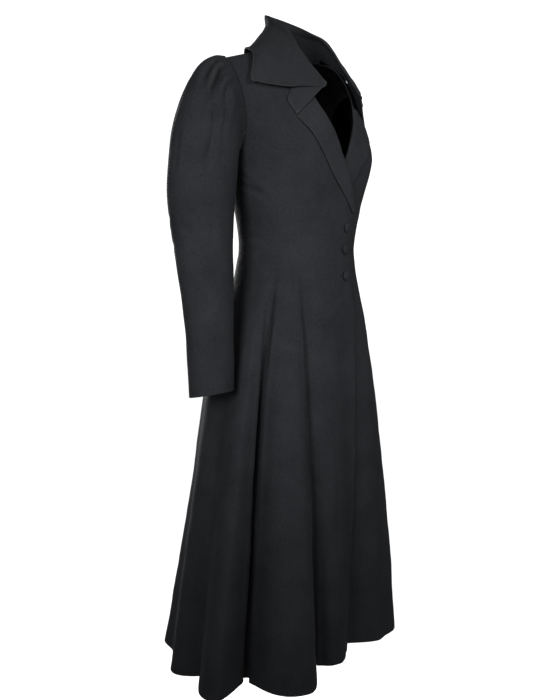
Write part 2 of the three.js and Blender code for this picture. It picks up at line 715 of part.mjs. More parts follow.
// The outer face of a sleeve at a row and a turn round it, drawn on the right side
function sleevePoint(row, turn, isLeft) {
  if (row === 0) {
    return armholePoint(turn);
  }
  const size = SLEEVE_ROWS[row - 1];
  const t = radians(turn);
  let out = 0;
  for (const fold of SLEEVE_FOLDS) {
    out += fold.out * hump((turn - fold.at) / fold.half) * hump((row - fold.deepest) / fold.rows);
  }
  const share = (1 - Math.cos(t)) / 2;
  const reach = Math.hypot(size.out - size.in, size.outZ - size.inZ) / 2;
  const depth = Math.cos(t - Math.PI / 2) > 0 ? size.ahead : size.behind;
  const folded = (out * Math.cos(t)) / (2 * reach);
  const x = -lerp(size.in, size.out, share) + folded * (size.out - size.in);
  const tilt = row === SLEEVE_ROWS.length ? CUFF_FRONT_UP * Math.sin(t) : 0;
  const z = lerp(size.inZ, size.outZ, share) - folded * (size.outZ - size.inZ) + tilt;
  const moved = isLeft ? new Vector3(size.leftIn, size.leftBack, 0) : new Vector3();
  return new Vector3(x, size.y - (depth + out) * Math.sin(t), z).add(moved);
}

function sleeveGeometry(from, to, columns, isLeft) {
  const outer = [];
  const inner = [];
  const gap = 0.45;
  for (let row = 0; row <= SLEEVE_ROWS.length; row += 1) {
    const outerRow = [];
    const innerRow = [];
    for (let j = 0; j <= columns; j += 1) {
      const turn = lerp(from + gap, to - gap, j / columns);
      const at = (r, t) => sleevePoint(clamp(r, 0, SLEEVE_ROWS.length), (t + 360) % 360, isLeft);
      const p = at(row, turn);
      const across = at(row, turn + 1).sub(at(row, turn - 1));
      const down = at(row + 1, turn).sub(at(row - 1, turn));
      const n = down.cross(across).normalize();
      outerRow.push(p);
      innerRow.push(p.clone().addScaledVector(n, -WALL));
    }
    outer.push(outerRow);
    inner.push(innerRow);
  }
  return [outer, inner];
}

function buildSleeves(parent) {
  const under = SLEEVE_SEAMS.back - 360;
  for (const [name, from, to, columns] of [
    ['sleeve_upper', SLEEVE_SEAMS.front, SLEEVE_SEAMS.back, UPPER_COLUMNS],
    ['sleeve_under', under, SLEEVE_SEAMS.front, UNDER_COLUMNS],
  ]) {
    const right = sleeveGeometry(from, to, columns, false);
    const left = sleeveGeometry(from, to, columns, true);
    const flipped = right.map((grid) => grid.map((row) => [...row].reverse()));
    const mirrored = left.map((grid) => grid.map((row) => row.map(mirrorX)));
    addMesh(parent, `${name}_right`, wallGeometry(...flipped), BODY_WOOL);
    addMesh(parent, `${name}_left`, wallGeometry(...mirrored), BODY_WOOL);
  }
}

// Three domed buttons covered in the coat's wool
const BUTTONS = [
  { z: -342, x: 16 },
  { z: -383, x: 15 },
  { z: -433, x: 14 },
];
const BUTTON_RADIUS = 9;
const BUTTON_THICK = 6;
const BUTTON_SIDES = 16;
const BUTTON_CLEAR = 0.9; // under the button, where its thread shank is

function buttonGeometry() {
  const profile = [
    [0, 0],
    [BUTTON_RADIUS * 0.8, 0],
    [BUTTON_RADIUS * 0.98, BUTTON_THICK * 0.18],
    [BUTTON_RADIUS, BUTTON_THICK * 0.36],
    [BUTTON_RADIUS * 0.86, BUTTON_THICK * 0.68],
    [BUTTON_RADIUS * 0.5, BUTTON_THICK * 0.92],
    [0, BUTTON_THICK],
  ].map(([r, h]) => new THREE.Vector2(r, h));
  return new THREE.LatheGeometry(profile, BUTTON_SIDES);
}

function buildButtons(parent) {
  BUTTONS.forEach((button, i) => {
    const angle = angleOf(button.x, button.z);
    const n = bodyNormal(angle, button.z);
    const geometry = buttonGeometry();
    const mesh = new THREE.Mesh(geometry, BODY_WOOL);
    mesh.name = `button_${i + 1}`;
    mesh.quaternion.setFromUnitVectors(new Vector3(0, 1, 0), n);
    mesh.position.copy(bodyPoint(angle, button.z).addScaledVector(n, BUTTON_CLEAR));
    parent.add(mesh);
  });
}

const group = new THREE.Group();
buildBody(group);
buildLapels(group);
buildCollar(group);
buildSleeves(group);
buildButtons(group);

export default group;
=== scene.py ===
"""A princess coat of black wool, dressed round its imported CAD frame.

The CAD's tables, with the foot of the collar set closer, shape the cloth here on finer grids,
with creases, turned edges, stitching, buttonholes and the wool itself. Sizes are in
millimetres until a mesh is made.
"""

import math

import bpy
import numpy as np
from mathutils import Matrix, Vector


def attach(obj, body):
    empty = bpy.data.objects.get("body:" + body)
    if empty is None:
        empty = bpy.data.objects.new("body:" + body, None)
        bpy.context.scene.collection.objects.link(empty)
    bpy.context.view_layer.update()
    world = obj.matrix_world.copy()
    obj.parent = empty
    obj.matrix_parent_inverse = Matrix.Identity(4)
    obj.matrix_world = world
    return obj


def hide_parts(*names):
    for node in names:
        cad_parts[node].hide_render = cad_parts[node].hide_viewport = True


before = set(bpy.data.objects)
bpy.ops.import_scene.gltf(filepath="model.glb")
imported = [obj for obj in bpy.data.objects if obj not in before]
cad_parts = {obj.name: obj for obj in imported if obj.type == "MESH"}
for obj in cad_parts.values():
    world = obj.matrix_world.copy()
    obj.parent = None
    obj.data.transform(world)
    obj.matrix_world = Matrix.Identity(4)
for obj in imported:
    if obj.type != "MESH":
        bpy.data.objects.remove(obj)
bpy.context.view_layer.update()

# Driving sizes, the CAD's own
MM = 0.001
WALL = 2.2
LAYER_GAP = 1.7
UNDER = WALL + LAYER_GAP
HEM_Z = -1158
UNDERARM_Z = -205
WAIST_Z = -381
SHOULDER_Z = -6
SHOULDER_SLOPE = 0.33
NECK_HALF = 72
TIP_HALF = 204
OVERLAP_TOP = 42
OVERLAP_HEM = 17
HEM_OPENING = 26
FOLD_GROWTH = 1.2
SEAM_TOP = 0.36
BACK_NECK = 0.84
NECK_SEAM_UP = 5
FOLD_RADIUS = 2.6
FALL_CLEAR = 5
ARMHOLE_GAP = 1.9
SLEEVE_CLEAR = 1.2
SHOULDER_GAP = 0.1
SEAM_GAP = 0.06

# Body sections: half width, depth in front of and behind the axis
SECTIONS = {
    "z": [HEM_Z, -1000, -850, -655, -562, -505, -450, -415, WAIST_Z, -345, -300, -250, UNDERARM_Z],
    "half": [266, 247, 224, 192, 171, 156, 138, 130, 126, 131, 142, 152, 161],
    "front": [144, 142, 139, 128, 123, 119, 111, 109, 107, 110, 116, 118, 118],
    "back": [219, 197, 179, 162, 149, 134, 113, 105, 98, 99, 104, 108, 112],
}

# Angle of each seam round the body, from the centre front, at these heights
SEAMS = {
    "z": [HEM_Z, -600, WAIST_Z, -240, UNDERARM_Z],
    "right_princess": [-21, -31, -42, -40, -41],
    "right_side": [-60.5, -63.2, -66, -84, -90],
    "right_back": [-93, -96, -100, -108, -112],
    "left_princess": [27, 36, 42, 40, 41],
    "left_side": [60, 64, 68, 84, 90],
    "left_back": [95, 98, 100, 108, 112],
}

# Skirt folds: angle at hem and waist, how far out at the hem, widths in degrees on the lower
# and the higher side, and the height where each begins
FOLDS = [
    (6, 0, -30, 15, 18, -400),
    (-21, -42, -26, 6, 9, -385),
    (-33, -50, 76, 25, 12, -390),
    (-47, -58, 18, 11, 16, -420),
    (-60.5, -66, -22, 6, 5, -385),
    (-68, -77, 74, 27, 8, -400),
    (-93, -98, -10, 8, 9, -520),
    (-106, -114, 20, 16, 13, -450),
    (-146, -146, 26, 13, 16, -430),
    (-170, -168, 34, 11, 11, -440),
    (41, 54, 11, 14, 14, -400),
    (60, 68, -20, 8, 8, -390),
    (76, 84, 32, 12, 16, -410),
    (95, 98, -12, 9, 9, -520),
    (112, 114, 30, 14, 14, -440),
    (141, 144, 26, 14, 14, -430),
    (167, 166, 32, 11, 11, -450),
]

# Soft forms of the bodice: angle, height, how far out, half angle, half height
FORMS = [
    (-37, -205, 16, 34, 105),
    (37, -205, 16, 34, 105),
    (-148, -170, 7, 34, 90),
    (148, -170, 7, 34, 90),
]

# Roll line of the lapel. A key is a height above the underarm, or 200 times an arch level.
ROLL_LINE = {
    "key": [-113, -69, -23, 12, 64, 110, 160, 200],
    "x": [42, 22, 0, -24, -66, -74, -75, -NECK_HALF],
}
ROLL_FOOT = -318

ARMHOLE = {
    "level": [0, 0.1, 0.2, 0.36, 0.5, 0.7, 0.88, 1],
    "front": [89.5, 83, 79, 76, 75, 76, 80, 87],
    "back": [90.5, 102, 108, 111, 112, 110, 103, 93],
}

LAPEL_EDGE = {
    "z": [-320, -300, -270, -236, -184, -120],
    "reach": [3, 14, 31, 48, 57, 56],
}
LAPEL_FOOT = -312
LEFT_LAPEL_FOOT = -285
GORGE_AT_ROLL = 0.31
GORGE_AT_EDGE = 0.19
# Section of a lapel: distance past the roll line, share of the reach, height over the front
LAPEL_SECTION = [
    (1.9, 0, -0.9),
    (2.2, 0, 1.1),
    (0.6, 0, 3.1),
    (-3, 0, 3.9),
    (-3, 0.4, 4.1),
    (-3, 0.75, 3.4),
    (-3, 1, 2.6),
]

# Collar stations from the right front end to the centre back: base x and z and its height
# over the front (or a level on the neckline), the fold, the free edge and how far the fall bows
COLLAR = [
    dict(base=(-103, -143), off=2.6, fold=(-53, -113, -84), edge=(-60, -114, -92), bow=0),
    dict(base=(-110, -117), off=3, fold=(-57, -99, -67), edge=(-84, -96), edge_off=13, bow=2),
    dict(base=(-98, -90), off=2.6, fold=(-61, -83, -47), edge=(-110, -98), edge_off=12, bow=4),
    dict(base=(-85, -57), off=1.8, fold=(-63, -62, -20), edge=(-137, -94), edge_off=10, bow=8),
    dict(base=(-83, -36), off=1.8, fold=(-64, -52, -6), edge=(-150, -90), edge_off=9, bow=11),
    dict(neck=0.93, front=True, fold=(-63, -42, 8), edge=(-160, -84), edge_off=11, bow=14),
    dict(neck=0.985, front=True, fold=(-60, -20, 33), edge=(-150, -44), edge_off=11, bow=14),
    dict(neck=0.98, fold=(-56, 6, 48), edge=(-130, 12, -15), bow=12),
    dict(neck=0.93, fold=(-46, 29, 62), edge=(-92, 52, -9), bow=11),
    dict(neck=0.88, fold=(-28, 52, 73), edge=(-50, 84, -11), bow=10),
    dict(neck=0.84, fold=(0, 62, 77), edge=(0, 96, -13), bow=9),
]

# Sleeve rows from just outside the armhole to the cuff; left_in and left_back move the left one
SLEEVE_COLUMNS = ("in", "in_z", "out", "out_z", "ahead", "behind", "y", "left_in", "left_back")
SLEEVE_ROWS = [
    (168, -210, 220, -49, 26, 60, 6, 0, 5),
    (169, -217, 237, -61, 31, 62, 9, 1, 17),
    (169, -228, 253, -83, 36, 62, 13, 5, 33),
    (168, -242, 268, -114, 40, 61, 17, 9, 42),
    (167, -259, 281, -154, 44, 59, 21, 12, 50),
    (167, -280, 290, -199, 47, 57, 24, 13, 54),
    (168, -306, 296, -250, 49, 54, 26, 14, 57),
    (172, -345, 298, -305, 49, 52, 26, 15, 60),
    (177, -395, 293, -365, 46, 48, 22, 14, 64),
    (184, -450, 288, -430, 43, 44, 15, 12, 68),
    (192, -510, 285, -498, 40, 40, 7, 9, 73),
    (199, -570, 284, -564, 37, 37, -1, 4, 78),
    (206, -641, 286, -648, 35, 35, -8, -4, 84),
]
# Folds from the gathered head: turn, how far out, half width, deepest row, rows
SLEEVE_FOLDS = [
    (112, -5, 11, 2, 3.5),
    (133, -11, 12, 2.5, 4),
    (156, -6, 10, 2, 4),
    (205, -6, 11, 2, 4),
    (229, -9, 12, 2.5, 4),
    (251, -5, 11, 2, 3.5),
]
CUFF_FRONT_UP = 5
SLEEVE_SEAM_FRONT = 48
SLEEVE_SEAM_BACK = 306

BUTTONS = [(-342, 16), (-383, 15), (-433, 14)]
BUTTON_CLEAR = 0.9


def lerp(a, b, t):
    return a + (b - a) * t


def smooth(t):
    u = np.clip(t, 0, 1)
    return u * u * (3 - 2 * u)


def hump(t):
    return np.where(np.abs(t) < 1, 0.5 + 0.5 * np.cos(np.pi * np.clip(t, -1, 1)), 0.0)


def read(table, key, name, at):
    """A column of a table at key, on smooth spans between its rows."""
    keys = np.array(table[key], float)
    values = np.array(table[name], float)
    at = np.clip(np.asarray(at, float), keys[0], keys[-1])
    last = len(keys) - 1
    i = np.clip(np.searchsorted(keys, at, side="left"), 1, last)
    span = keys[i] - keys[i - 1]
    t = (at - keys[i - 1]) / span

    def slope(j):
        low = np.maximum(j - 1, 0)
        high = np.minimum(j + 1, last)
        return (values[high] - values[low]) / (keys[high] - keys[low]) * span

    t2 = t * t
    t3 = t2 * t
    return (
        (2 * t3 - 3 * t2 + 1) * values[i - 1]
        + (t3 - 2 * t2 + t) * slope(i - 1)
        + (3 * t2 - 2 * t3) * values[i]
        + (t3 - t2) * slope(i)
    )


def unit(v):
    return v / np.maximum(np.linalg.norm(v, axis=-1, keepdims=True), 1e-9)


def is_arch(level):
    """A level is a height up to the underarm, and above it a share of the way to the shoulder."""
    return np.asarray(level) > -100


def level_key(level):
    return np.where(is_arch(level), level * 200, level - UNDERARM_Z)


def seam_angle(name, level):
    return read(SEAMS, "z", name, np.where(is_arch(level), UNDERARM_Z, level))


def fold_out(angle, z):
    out = np.zeros(np.broadcast(angle, z).shape)
    for hem_at, waist_at, amount, low, high, start in FOLDS:
        down = np.clip((start - z) / (start - HEM_Z), 0, 1)
        away = angle - lerp(waist_at, hem_at, np.sqrt(down))
        away = away - 360 * np.round(away / 360)
        width = np.where(away < 0, low, high)
        out = out + amount * hump(away / width) * down**FOLD_GROWTH
    return out


def form_out(angle, z):
    out = np.zeros(np.broadcast(angle, z).shape)
    for at, height, amount, half_angle, half_height in FORMS:
        out = out + amount * hump((angle - at) / half_angle) * hump((z - height) / half_height)
    return out


def body_point(angle, level, lift=0.0):
    """The outer face of the coat's body at an angle and level, moved out by lift."""
    angle, level, lift = np.broadcast_arrays(
        np.asarray(angle, float), np.asarray(level, float), np.asarray(lift, float)
    )
    side = np.sin(np.radians(angle))
    ahead = np.cos(np.radians(angle))
    low_z = np.minimum(level, UNDERARM_Z)
    depth = np.where(
        ahead > 0, read(SECTIONS, "z", "front", low_z), read(SECTIONS, "z", "back", low_z)
    )
    out = fold_out(angle, low_z) + form_out(angle, low_z) + lift
    half = read(SECTIONS, "z", "half", low_z)
    low = np.stack([(half + out) * side, -(depth + out) * ahead, low_z], -1)

    share = np.clip(level, 0, 1)
    rise = np.sin(share * math.pi / 2)
    over = np.maximum(np.cos(share * math.pi / 2), 0)
    half = lerp(SECTIONS["half"][-1], TIP_HALF, smooth(share * 0.95))
    x = half * side
    top = SHOULDER_Z - SHOULDER_SLOPE * np.maximum(0, np.abs(x) - NECK_HALF)
    z = lerp(UNDERARM_Z, top, rise)
    front = SECTIONS["front"][-1] * over
    back = SECTIONS["back"][-1] * over**0.62
    flatter = np.where(ahead > 0, lerp(1, 2.2, share), 1)
    out = (form_out(angle, z) + lift) * np.maximum(0.25, over)
    plan = np.sign(ahead) * np.abs(ahead) ** flatter
    y = -(np.where(ahead > 0, front, back) + out) * plan - np.sign(ahead) * SHOULDER_GAP
    high = np.stack([x + out * side, y, z + lift * rise], -1)
    return np.where(is_arch(level)[..., None], high, low)


def body_normal(angle, level, lift=0.0):
    level = np.asarray(level, float)
    arch = is_arch(level)
    step = np.where(arch, 0.004, 2.0)
    low = np.where(arch, np.maximum(0, level - step), level - step)
    high = np.where(arch, np.minimum(0.9999, level + step), np.minimum(UNDERARM_Z, level + step))
    across = body_point(angle + 0.4, level, lift) - body_point(angle - 0.4, level, lift)
    up = body_point(angle, high, lift) - body_point(angle, low, lift)
    return unit(np.cross(across, up))


def bisect(low, high, is_below, steps=24):
    """Halves each span between low and high until it holds the place where is_below ends."""
    for _ in range(steps):
        middle = (low + high) / 2
        below = is_below(middle)
        low = np.where(below, middle, low)
        high = np.where(below, high, middle)
    return (low + high) / 2


def angle_of(x, level):
    """Where x lies round the body at a level, in front."""
    x, level = np.broadcast_arrays(np.asarray(x, float), np.asarray(level, float))
    ends = np.full(x.shape, 90.0)
    return bisect(-ends, ends, lambda angle: body_point(angle, level)[..., 0] < x)


def front_edge(level):
    """The front edge: the overlap below the roll line, then the roll line itself."""
    level = np.asarray(level, float)
    down = (ROLL_FOOT - level) / (ROLL_FOOT - HEM_Z)
    x = np.where(
        level <= ROLL_FOOT,
        lerp(OVERLAP_TOP, OVERLAP_HEM, down),
        read(ROLL_LINE, "key", "x", level_key(level)),
    )
    return angle_of(x, level)


def neck_angle(level):
    t = np.clip((level - BACK_NECK) / (1 - BACK_NECK), 0, 1)
    at_shoulder = math.degrees(math.asin(NECK_HALF / TIP_HALF))
    return 180 - at_shoulder * np.sqrt(t)


def under_lift(angle, level):
    """The left front goes under the right one."""
    down = np.where(is_arch(level), 0, np.clip((WAIST_Z - level) / (WAIST_Z - HEM_Z), 0, 1))
    clear = np.minimum(34, seam_angle("left_princess", level) - 2)
    return -(UNDER + HEM_OPENING * down * down) * smooth((clear - angle) / 14)


def long_edge(seam, side, sign):
    """Edge of a front or back panel: the seam, then on to the armhole."""

    def edge(level):
        arm = sign * read(ARMHOLE, "level", side, level)
        top = sign * read(ARMHOLE, "level", side, SEAM_TOP)
        below = lerp(seam_angle(seam, UNDERARM_Z), top, np.clip(level, 0, SEAM_TOP) / SEAM_TOP)
        arch = np.where(level >= SEAM_TOP, arm, below)
        return np.where(is_arch(level), arch, seam_angle(seam, level))

    return edge


def side_edge(seam, side, sign):
    """Edge of a side panel: the side seam, then the armhole."""

    def edge(level):
        arm = sign * read(ARMHOLE, "level", side, level)
        return np.where(is_arch(level), arm, seam_angle(seam, level))

    return edge


def mirror_x(points):
    return points * np.array([-1.0, 1.0, 1.0])


def spline(grid, counts, axis=0):
    """Smooth rows between the rows of a grid, counts of them in each span."""
    grid = np.moveaxis(np.asarray(grid, float), axis, 0)
    last = len(grid) - 1
    made = []
    for i in range(last):
        before = grid[max(0, i - 1)]
        a, b = grid[i], grid[i + 1]
        after = grid[min(last, i + 2)]
        m0 = (b - before) / (2 if i > 0 else 1)
        m1 = (after - a) / (2 if i < last - 1 else 1)
        for t in np.arange(counts[i]) / counts[i]:
            t2 = t * t
            t3 = t2 * t
            made.append(
                (2 * t3 - 3 * t2 + 1) * a
                + (t3 - 2 * t2 + t) * m0
                + (3 * t2 - 2 * t3) * b
                + (t3 - t2) * m1
            )
    made.append(grid[-1])
    return np.moveaxis(np.array(made), 0, axis)


def grid_normals(grid):
    """Normals of a grid of points, across its columns and then up its rows."""
    across = np.gradient(grid, axis=1)
    up = np.gradient(grid, axis=0)
    return unit(np.cross(across, up))


# Creases, drawn on the cloth as lines with a depth and a width. The line is a trough where
# the depth is above 0 and a ridge where it is below, and it fades towards its two ends.
def line_of(points, step=2.0):
    points = np.asarray(points, float)
    spans = np.linalg.norm(np.diff(points, axis=0), axis=1)
    counts = [max(2, int(s / step)) for s in spans]
    return spline(points, counts)


def crease(grid, line, depth, width, ends=(0.0, 0.0), shoulder=0.3):
    """How far a crease moves each point of a grid along its normal."""
    moved = np.zeros(grid.shape[:2])
    reach = 3.6 * width
    low = line.min(0) - reach
    high = line.max(0) + reach
    near = np.all((grid > low) & (grid < high), axis=-1)
    if not near.any():
        return moved
    points = grid[near]
    apart = np.linalg.norm(points[:, None, :] - line[None], axis=-1)
    at = apart.argmin(1)
    d = apart[np.arange(len(points)), at] / width
    t = at / (len(line) - 1)
    fade = smooth(np.interp(t, [0, 0.35, 0.65, 1], [ends[0], 1, 1, ends[1]]))
    profile = -np.exp(-(d**2)) + shoulder * np.exp(-(((d - 1.9) / 0.8) ** 2))
    moved[near] = depth * fade * profile
    return moved


def ripple(grid, size, amount, seed):
    """A slow unevenness of hand-pressed cloth, the same on each run."""
    draw = np.random.RandomState(seed)
    total = np.zeros(grid.shape[:2])
    for _ in range(9):
        wave = draw.normal(size=3) / size
        total += np.sin(grid @ wave * 2 * math.pi + draw.uniform(0, 2 * math.pi))
    return total / 3 * amount


# --- Meshes
def turned_edges(count, size_mm, fine=(0.0, 0.5, 1.3, 2.6, 5.0)):
    """Column places from 0 to 1, closer together beside both edges. size_mm is the width."""
    size = np.asarray(size_mm, float)[:, None]
    left = np.array(fine)[None, :] / size
    middle = np.linspace(0, 1, count + 1)[None, 1:-1]
    start = left[:, -1:]
    inner = start + middle * (1 - 2 * start)
    return np.concatenate([left, inner, 1 - left[:, ::-1]], 1)


def edge_dip(places, size_mm, depth, width):
    """How far the face sinks towards a seam at either edge."""
    size = np.asarray(size_mm, float)[:, None]
    near = np.minimum(places, 1 - places) * size
    return -depth * np.exp(-((near / width) ** 2))


def place_in_scene(thing):
    bpy.context.scene.collection.objects.link(thing)


def piece_from(name, points, faces, flat=None):
    """A smooth mesh from points in millimetres, with where each lies on the flat cloth."""
    mesh = bpy.data.meshes.new(name)
    mesh.from_pydata((points * MM).tolist(), [], faces)
    layer = mesh.uv_layers.new(name="cloth")
    if flat is not None:
        corners = np.zeros(len(mesh.loops), int)
        mesh.loops.foreach_get("vertex_index", corners)
        layer.data.foreach_set("uv", flat[corners].ravel())
    mesh.polygons.foreach_set("use_smooth", np.ones(len(faces), bool))
    piece = bpy.data.objects.new(name, mesh)
    place_in_scene(piece)
    return piece


def shell(name, outer, inner, round_mm=0.5):
    """A closed sheet between two grids, with a rounded rim and a lining side."""
    rows, columns = outer.shape[:2]
    middle = (outer + inner) / 2
    out_u = unit(np.gradient(middle, axis=1))
    out_v = unit(np.gradient(middle, axis=0))
    rim = middle.copy()
    rim[:, 0] -= out_u[:, 0] * round_mm
    rim[:, -1] += out_u[:, -1] * round_mm
    rim[0] -= out_v[0] * round_mm
    rim[-1] += out_v[-1] * round_mm
    loop = (
        [(0, j) for j in range(columns)]
        + [(i, columns - 1) for i in range(1, rows)]
        + [(rows - 1, j) for j in range(columns - 2, -1, -1)]
        + [(i, 0) for i in range(rows - 2, 0, -1)]
    )
    total = rows * columns
    points = np.concatenate(
        [outer.reshape(-1, 3), inner.reshape(-1, 3), np.array([rim[i, j] for i, j in loop])]
    )
    index = np.arange(total).reshape(rows, columns)
    a, b = index[:-1, :-1].ravel(), index[:-1, 1:].ravel()
    c, d = index[1:, 1:].ravel(), index[1:, :-1].ravel()
    front = np.stack([a, b, c, d], -1)
    back = np.stack([a, d, c, b], -1) + total
    edge = np.array([i * columns + j for i, j in loop])
    following = np.roll(edge, -1)
    ring = 2 * total + np.arange(len(loop))
    ring_next = np.roll(ring, -1)
    strip_a = np.stack([following, edge, ring, ring_next], -1)
    strip_b = np.stack([ring_next, ring, edge + total, following + total], -1)
    faces = np.concatenate([front, back, strip_a, strip_b])
    lining = np.zeros(len(faces), int)
    lining[len(front):len(front) + len(back)] = 1
    across = np.linalg.norm(np.diff(middle, axis=1), axis=-1)
    upward = np.linalg.norm(np.diff(middle, axis=0), axis=-1)
    u = np.concatenate([np.zeros((rows, 1)), np.cumsum(across, 1)], 1)
    u = u - u[:, -1:] / 2
    v = np.concatenate([np.zeros((1, columns)), np.cumsum(upward, 0)], 0)
    v = np.repeat(v.mean(1, keepdims=True), columns, 1)
    flat = np.stack([u, v], -1).reshape(-1, 2) * MM
    flat = np.concatenate([flat, flat, np.array([flat[k] for k in edge])])
    piece = piece_from(name, points, faces.tolist(), flat)
    piece.data.polygons.foreach_set("material_index", lining)
    piece.data.update()
    return piece


def sheet_from(name, grid, wall=WALL, round_mm=0.7):
    """A closed sheet of an even thickness about a grid of middle points."""
    normals = grid_normals(grid)
    return shell(name, grid + normals * wall / 2, grid - normals * wall / 2, round_mm)


# --- Materials
def nodes_of(name):
    material = bpy.data.materials.new(name)
    material.use_nodes = True
    tree = material.node_tree
    shader = tree.nodes["Principled BSDF"]
    return material, tree, shader


def math_node(tree, operation, a, b):
    node = tree.nodes.new("ShaderNodeMath")
    node.operation = operation
    for socket, value in zip(node.inputs, (a, b)):
        if isinstance(value, (int, float)):
            socket.default_value = value
        else:
            tree.links.new(value, socket)
    return node.outputs[0]


def noise(tree, vector, scale, detail=3.0, roughness=0.55):
    node = tree.nodes.new("ShaderNodeTexNoise")
    node.inputs["Scale"].default_value = scale
    node.inputs["Detail"].default_value = detail
    node.inputs["Roughness"].default_value = roughness
    tree.links.new(vector, node.inputs["Vector"])
    return node.outputs["Fac"]


def twill(tree, vector, pitch, lean):
    """Fine ribs that run at a slant, as in a twill, on the cloth's own flat coordinates."""
    turn = tree.nodes.new("ShaderNodeMapping")
    turn.inputs["Rotation"].default_value = (0, 0, math.radians(lean))
    tree.links.new(vector, turn.inputs["Vector"])
    wave = tree.nodes.new("ShaderNodeTexWave")
    wave.inputs["Scale"].default_value = 1 / pitch / (2 * math.pi) * 2
    wave.inputs["Distortion"].default_value = 1.2
    wave.inputs["Detail"].default_value = 2.0
    wave.inputs["Detail Scale"].default_value = 3.0
    tree.links.new(turn.outputs["Vector"], wave.inputs["Vector"])
    return wave.outputs["Fac"]


def weighted(tree, parts):
    """Adds up values, each times its own weight."""
    total = None
    for value, weight in parts:
        term = math_node(tree, "MULTIPLY", value, weight)
        total = term if total is None else math_node(tree, "ADD", total, term)
    return total


def tone_ramp(tree, value, dark, light, low=0.0, high=1.0):
    """Blends from dark to light as a value goes from low to high."""
    ramp = tree.nodes.new("ShaderNodeValToRGB")
    for stop, at, colour in zip(ramp.color_ramp.elements, (low, high), (dark, light)):
        stop.position = at
        stop.color = (*colour, 1)
    tree.links.new(value, ramp.inputs["Fac"])
    return ramp.outputs["Color"]


def add_bump(tree, shader, height, strength, distance):
    bump = tree.nodes.new("ShaderNodeBump")
    bump.inputs["Strength"].default_value = strength
    bump.inputs["Distance"].default_value = distance
    tree.links.new(height, bump.inputs["Height"])
    tree.links.new(bump.outputs["Normal"], shader.inputs["Normal"])


TWILL_PITCH = 0.0011
TWILL_LEAN = 63


def wool(name, dark, light, worn, sheen=0.002, rib=0.35):
    """Matt wool: fine twill ribs under a short nap, a little uneven in tone."""
    material, tree, shader = nodes_of(name)
    place = tree.nodes.new("ShaderNodeTexCoord").outputs["Object"]
    flat = tree.nodes.new("ShaderNodeUVMap")
    flat.uv_map = "cloth"
    ribs = twill(tree, flat.outputs["UV"], TWILL_PITCH, TWILL_LEAN)
    nap = noise(tree, place, 900.0, 4.0, 0.7)
    fibres = noise(tree, place, 260.0, 3.0, 0.6)
    cloudy = noise(tree, place, 14.0, 3.0, 0.6)
    tone = weighted(tree, [(cloudy, 0.4), (fibres, 0.4), (nap, 0.2)])
    colour = tone_ramp(tree, tone, dark, light, 0.36, 0.64)
    bare = tree.nodes.new("ShaderNodeNewGeometry").outputs["Pointiness"]
    edge = tree.nodes.new("ShaderNodeMapRange")
    edge.inputs["From Min"].default_value = 0.53
    edge.inputs["From Max"].default_value = 0.6
    tree.links.new(bare, edge.inputs["Value"])
    mix = tree.nodes.new("ShaderNodeMix")
    mix.data_type = "RGBA"
    mix.inputs["B"].default_value = (*worn, 1)
    tree.links.new(edge.outputs["Result"], mix.inputs["Factor"])
    tree.links.new(colour, mix.inputs["A"])
    tree.links.new(mix.outputs["Result"], shader.inputs["Base Color"])
    rough = math_node(tree, "MULTIPLY", nap, 0.12)
    rough = math_node(tree, "ADD", rough, 0.84)
    tree.links.new(rough, shader.inputs["Roughness"])
    shader.inputs["Specular IOR Level"].default_value = 0.005
    shader.inputs["Sheen Weight"].default_value = sheen
    shader.inputs["Sheen Roughness"].default_value = 0.45
    shader.inputs["Sheen Tint"].default_value = (0.75, 0.8, 1, 1)
    height = weighted(tree, [(ribs, rib), (nap, 0.5), (fibres, 0.6)])
    add_bump(tree, shader, height, 0.5, 0.0004)
    return material


def lining_cloth(name):
    """A thin black lining with next to no gloss."""
    material, tree, shader = nodes_of(name)
    place = tree.nodes.new("ShaderNodeTexCoord").outputs["Object"]
    grain = noise(tree, place, 420.0, 2.0, 0.5)
    colour = tone_ramp(tree, grain, (0.0024, 0.0024, 0.0027), (0.0042, 0.0042, 0.0046))
    tree.links.new(colour, shader.inputs["Base Color"])
    rough = math_node(tree, "ADD", math_node(tree, "MULTIPLY", grain, 0.15), 0.42)
    shader.inputs["Specular IOR Level"].default_value = 0.06
    tree.links.new(rough, shader.inputs["Roughness"])
    add_bump(tree, shader, grain, 0.3, 0.0002)
    return material


coat_wool = wool(
    "wool_coat", (0.0031, 0.0033, 0.0037), (0.0054, 0.0056, 0.0062), (0.0068, 0.0069, 0.0073)
)
# The collar and lapels get a lighter copy of the coat wool: painted light, standing in for the brighter
# light on the upturned collar.
collar_wool_painted_light = wool(
    "wool_collar_painted_light", (0.0036, 0.0038, 0.0042), (0.0059, 0.0061, 0.0067), (0.0075, 0.0076, 0.008)
)
lining = lining_cloth("lining")
thread = wool("thread", (0.002, 0.002, 0.0022), (0.0036, 0.0037, 0.004), (0.004, 0.004, 0.0043), rib=0.0)


def dress(piece, node, outside, inside=None):
    """Gives a piece its two materials and its body, and hides the CAD node it takes the place of."""
    piece.data.materials.append(outside)
    piece.data.materials.append(inside or outside)
    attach(piece, "root")
    if node:
        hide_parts(node)
    return piece


# --- Stitching
STITCH_SIDES = 6


